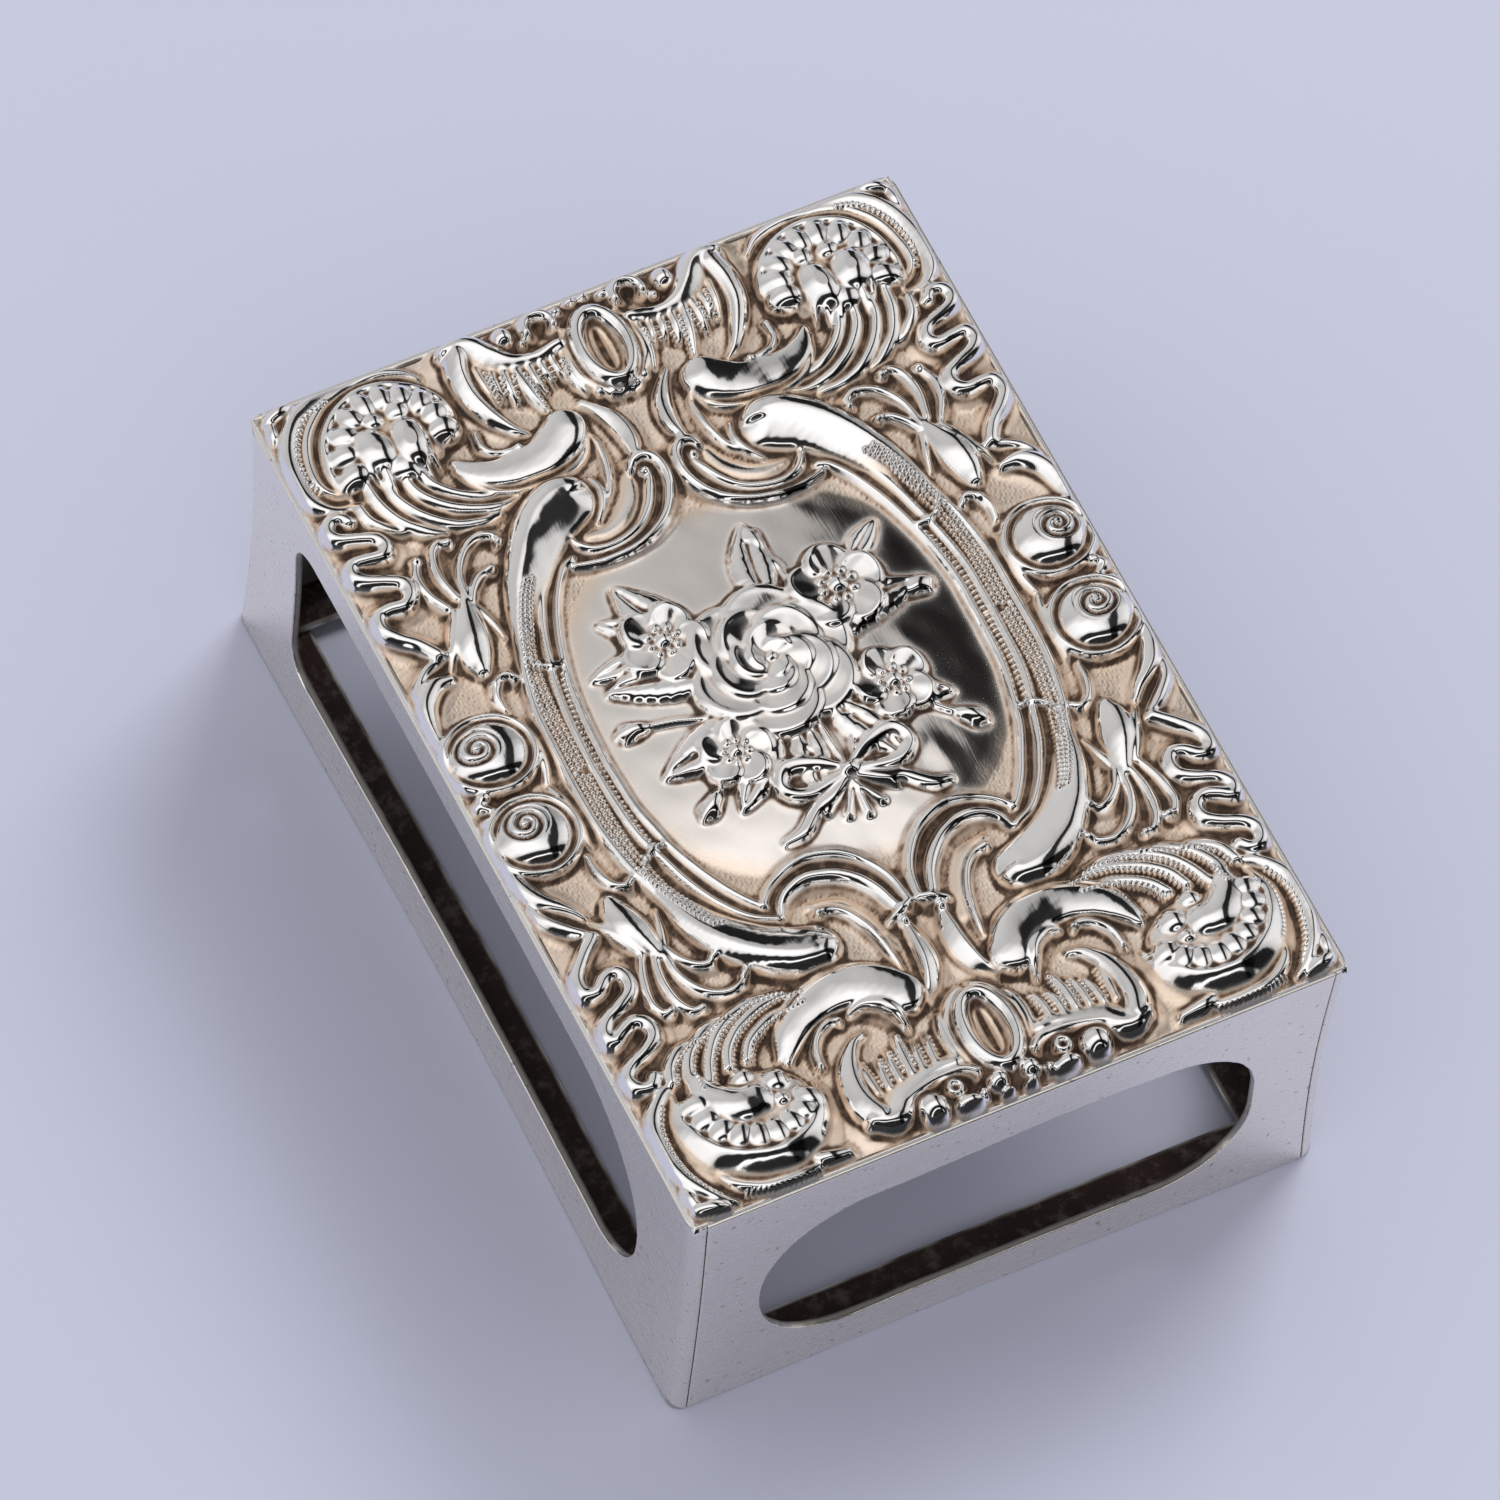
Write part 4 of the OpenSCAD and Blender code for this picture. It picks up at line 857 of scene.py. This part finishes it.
for cx, cy, turn in ((2.1, 9.0, 100), (-9.1, .95, 172), (8.9, 3.0, 12), (-7.3, -4.8, 216), (7.9, -5.4, -40)):
    for spread, long, w in ((-26, 1.35, .42), (26, 1.35, .42), (0, 1.75, .55)):
        a = math.radians(turn + spread)
        dome(picture, cx + .35 * math.cos(a), cy + .35 * math.sin(a), long * .62, w, .62 + .1 * (spread == 0),
             "whole", turn + spread)
blossom(picture, 4.9, 4.6, 2.8, .95, 5, .2)
blossom(picture, -5.6, 5.3, 2.5, .9, 5, .9)
blossom(picture, 5.0, -2.2, 2.35, .88, 5, .5)
blossom(picture, -5.0, -2.8, 2.1, .82, 5, 1.2)
for ring_r, away, count, h, start in ((2.5, 2.6, 6, .85, .2), (2.05, 1.7, 5, 1.0, .6), (1.45, 1.0, 4, 1.08, 1.1),
                                      (.95, .5, 3, 1.12, .3)):
    for k in range(count):
        petal(picture, -.6, 1.7, start + 2 * math.pi * k / count, away, ring_r, h, 0.2)
dome(picture, -.6, 1.7, .34, .34, 1.02, "whole")
# ribbon bow
for flip in (-1, 1):
    stroke(picture, [(.3, -6.2, .3, .6), (flip * 1.7 + .3, -5.2, .55, .7), (flip * 3.3 + .3, -4.9, .62, .74),
                     (flip * 3.9 + .3, -5.9, .5, .7), (flip * 2.7 + .3, -6.7, .5, .66), (.3, -6.3, .3, .6)],
           "whole", lean(.35 * flip))
    stroke(picture, [(.3, -6.4, .3, .55), (flip * 1.5 + .3, -7.3, .5, .6), (flip * 2.6 + .3, -7.6, .45, .5),
                     (flip * 3.9 + .3, -8.6, .5, .55), (flip * 5.0 + .3, -8.8, .3, .4)], "whole", lean(-.3 * flip))
dome(picture, .3, -6.25, .62, .52, .95, "whole")

# Striking the sheet
# The metal flows over the dies, so steep sides are eased, crowded forms share a common swell, and
# the ground between them is a little hammered. Punched grain fills some of it.


def blur(f, reach):
    """Gaussian mean of f over a reach in millimetres, along one axis and then the other."""
    n = int(3 * reach / STEP) + 1
    k = np.exp(-0.5 * (np.arange(-n, n + 1) * STEP / reach) ** 2)
    k = k / k.sum()
    for axis in (0, 1):
        pad = [(n, n) if i == axis else (0, 0) for i in (0, 1)]
        wide = np.pad(f, pad, mode="edge")
        f = sum(k[i] * np.take(wide, np.arange(i, i + f.shape[axis]), axis) for i in range(2 * n + 1))
    return f


swell = blur(plate, 0.8)
edge_gap = np.minimum(HX - np.abs(X), HY - np.abs(Y))
struck = 0.92 * plate + 0.22 * swell + panel + picture
struck = blur(struck, 0.105) + grain
struck = struck + 0.022 * waves(X, Y, 3.2, 7) + 0.004 * waves(X, Y, 0.8, 8) * (1 - 0.85 * (panel > 0.05))
punched = np.clip(1 - plate / 0.12, 0, 1) * np.clip(1 - panel / 0.05, 0, 1)
struck = struck + 0.02 * punched * waves(X, Y, 0.32, 9)
struck = np.minimum(struck, 1.93)
# the outermost rim is left plain, a shade higher than the walls it lies against
rim = 0.2 * np.clip((0.3 - edge_gap) / 0.12, 0, 1)
struck = np.maximum(struck * np.clip(edge_gap / 0.4, 0, 1) ** 0.5, rim)
GROUND = WALL_H - 0.12
height = GROUND + struck - 0.08 * np.clip(1 - edge_gap / 0.12, 0, 1) ** 2

slope_y, slope_x = np.gradient(height, STEP)
normals = np.stack([-slope_x, -slope_y, np.ones_like(height)], -1)
normals = normals / np.linalg.norm(normals, axis=-1, keepdims=True)
relief_only = struck - panel
proud = relief_only - blur(relief_only, 0.55)
wide_hollow = np.clip((blur(relief_only, 0.42) - relief_only) / 0.34, 0, 1)
fine_hollow = np.clip((blur(struck, 0.18) - struck) / 0.08, 0, 1)
high = np.clip((relief_only - 0.75) / 0.5, 0, 1)
polished = np.clip(proud / 0.13 + 0.55 + 0.9 * high, 0, 1) * np.clip(relief_only / 0.2, 0, 1)
polished = np.maximum(polished, np.clip((0.22 - edge_gap) / 0.1, 0, 1))
# The hollow field marks the crevices that the finish darkens, partly as tarnish and partly as painted shade.
fields = {"ground": 1 - polished,
          "hollow": np.clip(0.3 * wide_hollow + 0.9 * fine_hollow, 0, 1) * np.clip(0.4 + edge_gap, 0, 1),
          "crown": np.clip((struck - blur(struck, 0.2)) / 0.08, 0, 1),
          "panel": np.clip(panel / 0.25, 0, 1)}

# Finish of the plate
# The high parts are polished bright. The ground is warm pinkish gold where tarnish has been
# wiped but not removed, and every crevice is painted darker, brown and in the deepest near black: partly tarnish,
# partly painted shade.

stamped = bpy.data.materials.new("stamped_silver_skin")
stamped.use_nodes = True
tree = stamped.node_tree
tree.nodes.clear()
place = put(tree, "TexCoord").outputs["Object"]
seen = {key: put(tree, "Attribute", {"attribute_name": key}).outputs["Fac"] for key in fields}
cloud = noise(tree, place, 260, 4, 0.62)
mottle = noise(tree, place, 1300, 4, 0.65)
grain = noise(tree, place, 5200, 2, 0.5)
scratch = noise(tree, stretched(tree, place, 9.0, 0.7, 3.0), 700, 2, 0.6)
warmth = sum_of(tree, "MULTIPLY", seen["ground"], sum_of(tree, "MULTIPLY_ADD", cloud, 0.8), True)
warmth.node.inputs[1].links[0].from_node.inputs[2].default_value = 0.52
warmth = sum_of(tree, "MULTIPLY", warmth, sum_of(tree, "SUBTRACT", 1.0, sum_of(tree, "MULTIPLY", seen["panel"], 0.72)))
silver = mix(tree, mottle, (0.93, 0.92, 0.912), (0.88, 0.868, 0.86))
gilt = mix(tree, mottle, (1.0, 0.84, 0.69), (0.9, 0.70, 0.54))
base = mix(tree, warmth, silver, gilt)
# Crevices are darkened to brown, and the deepest to near black: partly tarnish, partly painted shade.
crevice_tarnish_and_shade = sum_of(tree, "MULTIPLY", seen["hollow"], sum_of(tree, "MULTIPLY_ADD", mottle, 0.9), True)
crevice_tarnish_and_shade.node.inputs[1].links[0].from_node.inputs[2].default_value = 0.45
base = mix(tree, ramp(tree, crevice_tarnish_and_shade, [(0.3, 0), (0.74, 0.85)]), base, (0.34, 0.20, 0.115))
base = mix(tree, ramp(tree, crevice_tarnish_and_shade, [(0.58, 0), (0.92, 0.94)]), base, (0.04, 0.023, 0.015))
gloss = sum_of(tree, "MULTIPLY_ADD", seen["ground"], 0.22)
gloss.node.inputs[2].default_value = 0.05
gloss = sum_of(tree, "SUBTRACT", gloss, sum_of(tree, "MULTIPLY", seen["panel"], 0.21), True)
gloss = sum_of(tree, "ADD", gloss, sum_of(tree, "MULTIPLY", crevice_tarnish_and_shade, 0.3))
gloss = sum_of(tree, "ADD", gloss, sum_of(tree, "MULTIPLY", scratch, 0.05))
unpolished = sum_of(tree, "SUBTRACT", seen["ground"], seen["panel"], True)
shape = sum_of(tree, "ADD", sum_of(tree, "MULTIPLY", grain, unpolished), sum_of(tree, "MULTIPLY", scratch, 0.16))
bump = put(tree, "Bump", Strength=0.6, Distance=0.00002, Height=shape)
metal = sum_of(tree, "SUBTRACT", 1.0, sum_of(tree, "MULTIPLY", crevice_tarnish_and_shade, 0.6))
shader = put(tree, "BsdfPrincipled", Base_Color=base, Metallic=metal, Roughness=gloss, Normal=bump.outputs[0])
put(tree, "OutputMaterial", Surface=shader.outputs[0])


def tile(name, rows, cols):
    """One rectangle of the struck sheet. Tiles at the edge of the plate also carry its cut side."""
    z = height[rows, cols]
    points = np.stack([X[rows, cols], Y[rows, cols], z], -1)
    n = normals[rows, cols]
    f = {key: value[rows, cols] for key, value in fields.items()}
    skirt = [(rows.start == 0, 0, (1, 0)), (rows.stop == X.shape[0], 0, (0, 1)),
             (cols.start == 0, 1, (1, 0)), (cols.stop == X.shape[1], 1, (0, 1))]
    for wanted, axis, pad in skirt:
        if wanted:
            wide = [pad if k == axis else (0, 0) for k in range(2)]
            points = np.pad(points, wide + [(0, 0)], mode="edge")
            n = np.pad(n, wide + [(0, 0)], mode="edge")
            f = {key: np.pad(value, wide, mode="edge") for key, value in f.items()}
            last = [slice(None)] * 2
            last[axis] = 0 if pad[0] else -1
            points[tuple(last) + (2,)] = GROUND - 0.5
            out = np.zeros(3)
            out[1 - axis] = -1 if pad[0] else 1
            n[tuple(last)] = out
    faces = grid_faces(*points.shape[:2])
    mesh = bpy.data.meshes.new(name)
    mesh.from_pydata((points.reshape(-1, 3) * 0.001).tolist(), [], faces.tolist())
    mesh.polygons.foreach_set("use_smooth", np.ones(len(mesh.polygons), bool))
    for key, value in f.items():
        layer = mesh.attributes.new(key, "FLOAT", "POINT")
        layer.data.foreach_set("value", value.astype(np.float32).ravel())
    mesh.normals_split_custom_set_from_vertices(n.reshape(-1, 3).tolist())
    mesh.materials.append(stamped)
    piece = bpy.data.objects.new(name, mesh)
    bpy.context.collection.objects.link(piece)
    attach(piece, "root")
    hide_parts("top_plate")
    return piece


def cuts(count, parts):
    """Slices that share their end points and cover count points in equal parts."""
    at = np.linspace(0, count - 1, parts + 1).round().astype(int)
    return [slice(a, b + 1) for a, b in zip(at[:-1], at[1:])]


for i, rows in enumerate(cuts(X.shape[0], 4)):
    for j, cols in enumerate(cuts(X.shape[1], 2)):
        tile(f"plate_tile_{i + 1}{j + 1}", rows, cols)

# Reverse of the plate
# Inside, the sheet shows the same forms hollow, softened by its thickness and black with age.

step = 6
rx, ry = X[::step, ::step], Y[::step, ::step]
under = GROUND - 0.5 + 0.8 * blur(struck, 0.35)[::step, ::step] * np.clip(edge_gap[::step, ::step] / 1.2, 0, 1)
under = np.minimum(under, height[::step, ::step] - 0.12)
back = make_piece("plate_reverse", np.stack([rx, ry, under], -1), grid_faces(*rx.shape)[:, ::-1], long_silver,
                  ["top_plate"], closed=False)
tarnish(back, np.ones(rx.size))

# Floor, light and camera
# A pale lilac sheet of paper, a large overhead diffuser towards the back, and a lens of long
# focus placed where the photograph was taken from.

floor_mesh = bpy.data.meshes.new("floor")
gx, gy = np.meshgrid(np.linspace(-1.6, 1.6, 41), np.linspace(-1.6, 1.6, 41))
gz = 0.00004 * waves(gx, gy, 0.3, 5) - 0.00006
floor_mesh.from_pydata(np.stack([gx, gy, gz], -1).reshape(-1, 3).tolist(), [], grid_faces(41, 41).tolist())
floor = bpy.data.objects.new("floor", floor_mesh)
bpy.context.collection.objects.link(floor)
paper = bpy.data.materials.new("lilac_paper")
paper.use_nodes = True
tree = paper.node_tree
tree.nodes.clear()
place = put(tree, "TexCoord").outputs["Object"]
fibre = noise(tree, place, 900, 5, 0.7)
wash = noise(tree, place, 9, 2, 0.5)
base = mix(tree, wash, (0.48, 0.485, 0.59), (0.505, 0.51, 0.615))
base = mix(tree, sum_of(tree, "MULTIPLY", fibre, 0.10), base, (0.42, 0.43, 0.55))
# painted reflection: for mirrored rays only, the paper from some 5 cm in front of the holder is painted near black, and
# steep silver mirrors it as a dark studio
near = put(tree, "SeparateXYZ", Vector=place).outputs[1]
painted_dark_reflection = put(tree, "Math", {"operation": "MULTIPLY_ADD", "use_clamp": True}, i0=near, i1=-60.0, i2=-2.9).outputs[0]
painted_dark_reflection = sum_of(tree, "MULTIPLY", painted_dark_reflection, put(tree, "LightPath").outputs["Is Glossy Ray"])
base = mix(tree, painted_dark_reflection, base, (0.012, 0.012, 0.015))
bump = put(tree, "Bump", Strength=0.15, Distance=0.00005, Height=fibre)
shader = put(tree, "BsdfPrincipled", Base_Color=base, Roughness=0.85, Normal=bump.outputs[0])
put(tree, "OutputMaterial", Surface=shader.outputs[0])
floor_mesh.materials.append(paper)


def lamp(name, place, aim, size, watts, colour=(1, 1, 1)):
    """Square or oblong soft box of size (width, height) at place, turned to aim."""
    light = bpy.data.lights.new(name, "AREA")
    light.shape = "RECTANGLE"
    light.size, light.size_y = size
    light.energy = watts
    light.color = colour
    made = bpy.data.objects.new(name, light)
    made.location = place
    made.rotation_euler = (Vector(aim) - Vector(place)).to_track_quat("-Z", "Y").to_euler()
    bpy.context.collection.objects.link(made)
    return made


# The studio: a large soft lamp high on the right gives the soft shadow. What the polished silver
# mirrors is a pale room with a white ceiling, dark beyond the camera and on the right, and a
# narrow white strip lamp in the dark.
key = lamp("key", (0.75, 0.55, 1.0), (0, 0, 0), (0.55, 0.55), 9.0)
key.visible_glossy = False

world = bpy.data.worlds.new("studio")
bpy.context.scene.world = world
world.use_nodes = True
tree = world.node_tree
tree.nodes.clear()
way = put(tree, "SeparateXYZ", Vector=put(tree, "TexCoord").outputs["Generated"])
half = [sum_of(tree, "MULTIPLY_ADD", way.outputs[k], 0.5) for k in range(2)]
for socket in half:
    socket.node.inputs[2].default_value = 0.5
depth = ramp(tree, half[1], [(0.0, 0.015), (0.125, 0.015), (0.135, 1.0), (0.165, 1.0), (0.175, 0.015),
                             (0.295, 0.015), (0.32, 0.68), (0.40, 1.0), (0.60, 0.93), (0.66, 0.7),
                             (0.75, 0.46), (0.97, 0.52)])
breadth = ramp(tree, half[0], [(0.0, 0.85), (0.25, 1.0), (0.52, 1.0), (0.64, 0.85), (0.695, 0.7), (0.715, 0.02),
                               (0.82, 0.02), (0.85, 0.55), (0.97, 0.75)])
room = put(tree, "MixRGB", {"blend_type": "MULTIPLY"}, Fac=1.0, Color1=depth, Color2=breadth).outputs[0]
room = put(tree, "MixRGB", {"blend_type": "MULTIPLY"}, Fac=1.0, Color1=room, Color2=(1.0, 0.99, 0.985, 1)).outputs[0]
glossy = put(tree, "LightPath").outputs["Is Glossy Ray"]
power = put(tree, "Math", {"operation": "MULTIPLY_ADD"}, i0=glossy, i1=0.3, i2=0.9).outputs[0]
sky = put(tree, "Background", Color=mix(tree, glossy, (0.93, 0.95, 1.0), room), Strength=power)
put(tree, "OutputWorld", Surface=sky.outputs[0])

lens = bpy.data.cameras.new("camera")
lens.sensor_width = 36
lens.lens = 322.46
lens.clip_end = 20
camera = bpy.data.objects.new("camera", lens)
camera.location = (-0.20512, -0.32565, 0.65849)
ahead = Vector((-0.00049, 0.00306, 0.010)) - camera.location
camera.rotation_mode = "QUATERNION"
camera.rotation_quaternion = ahead.to_track_quat("-Z", "Y") @ Quaternion((0, 0, 1), math.radians(6.67))
bpy.context.collection.objects.link(camera)
bpy.context.scene.camera = camera
bpy.context.scene.view_settings.view_transform = "Standard"
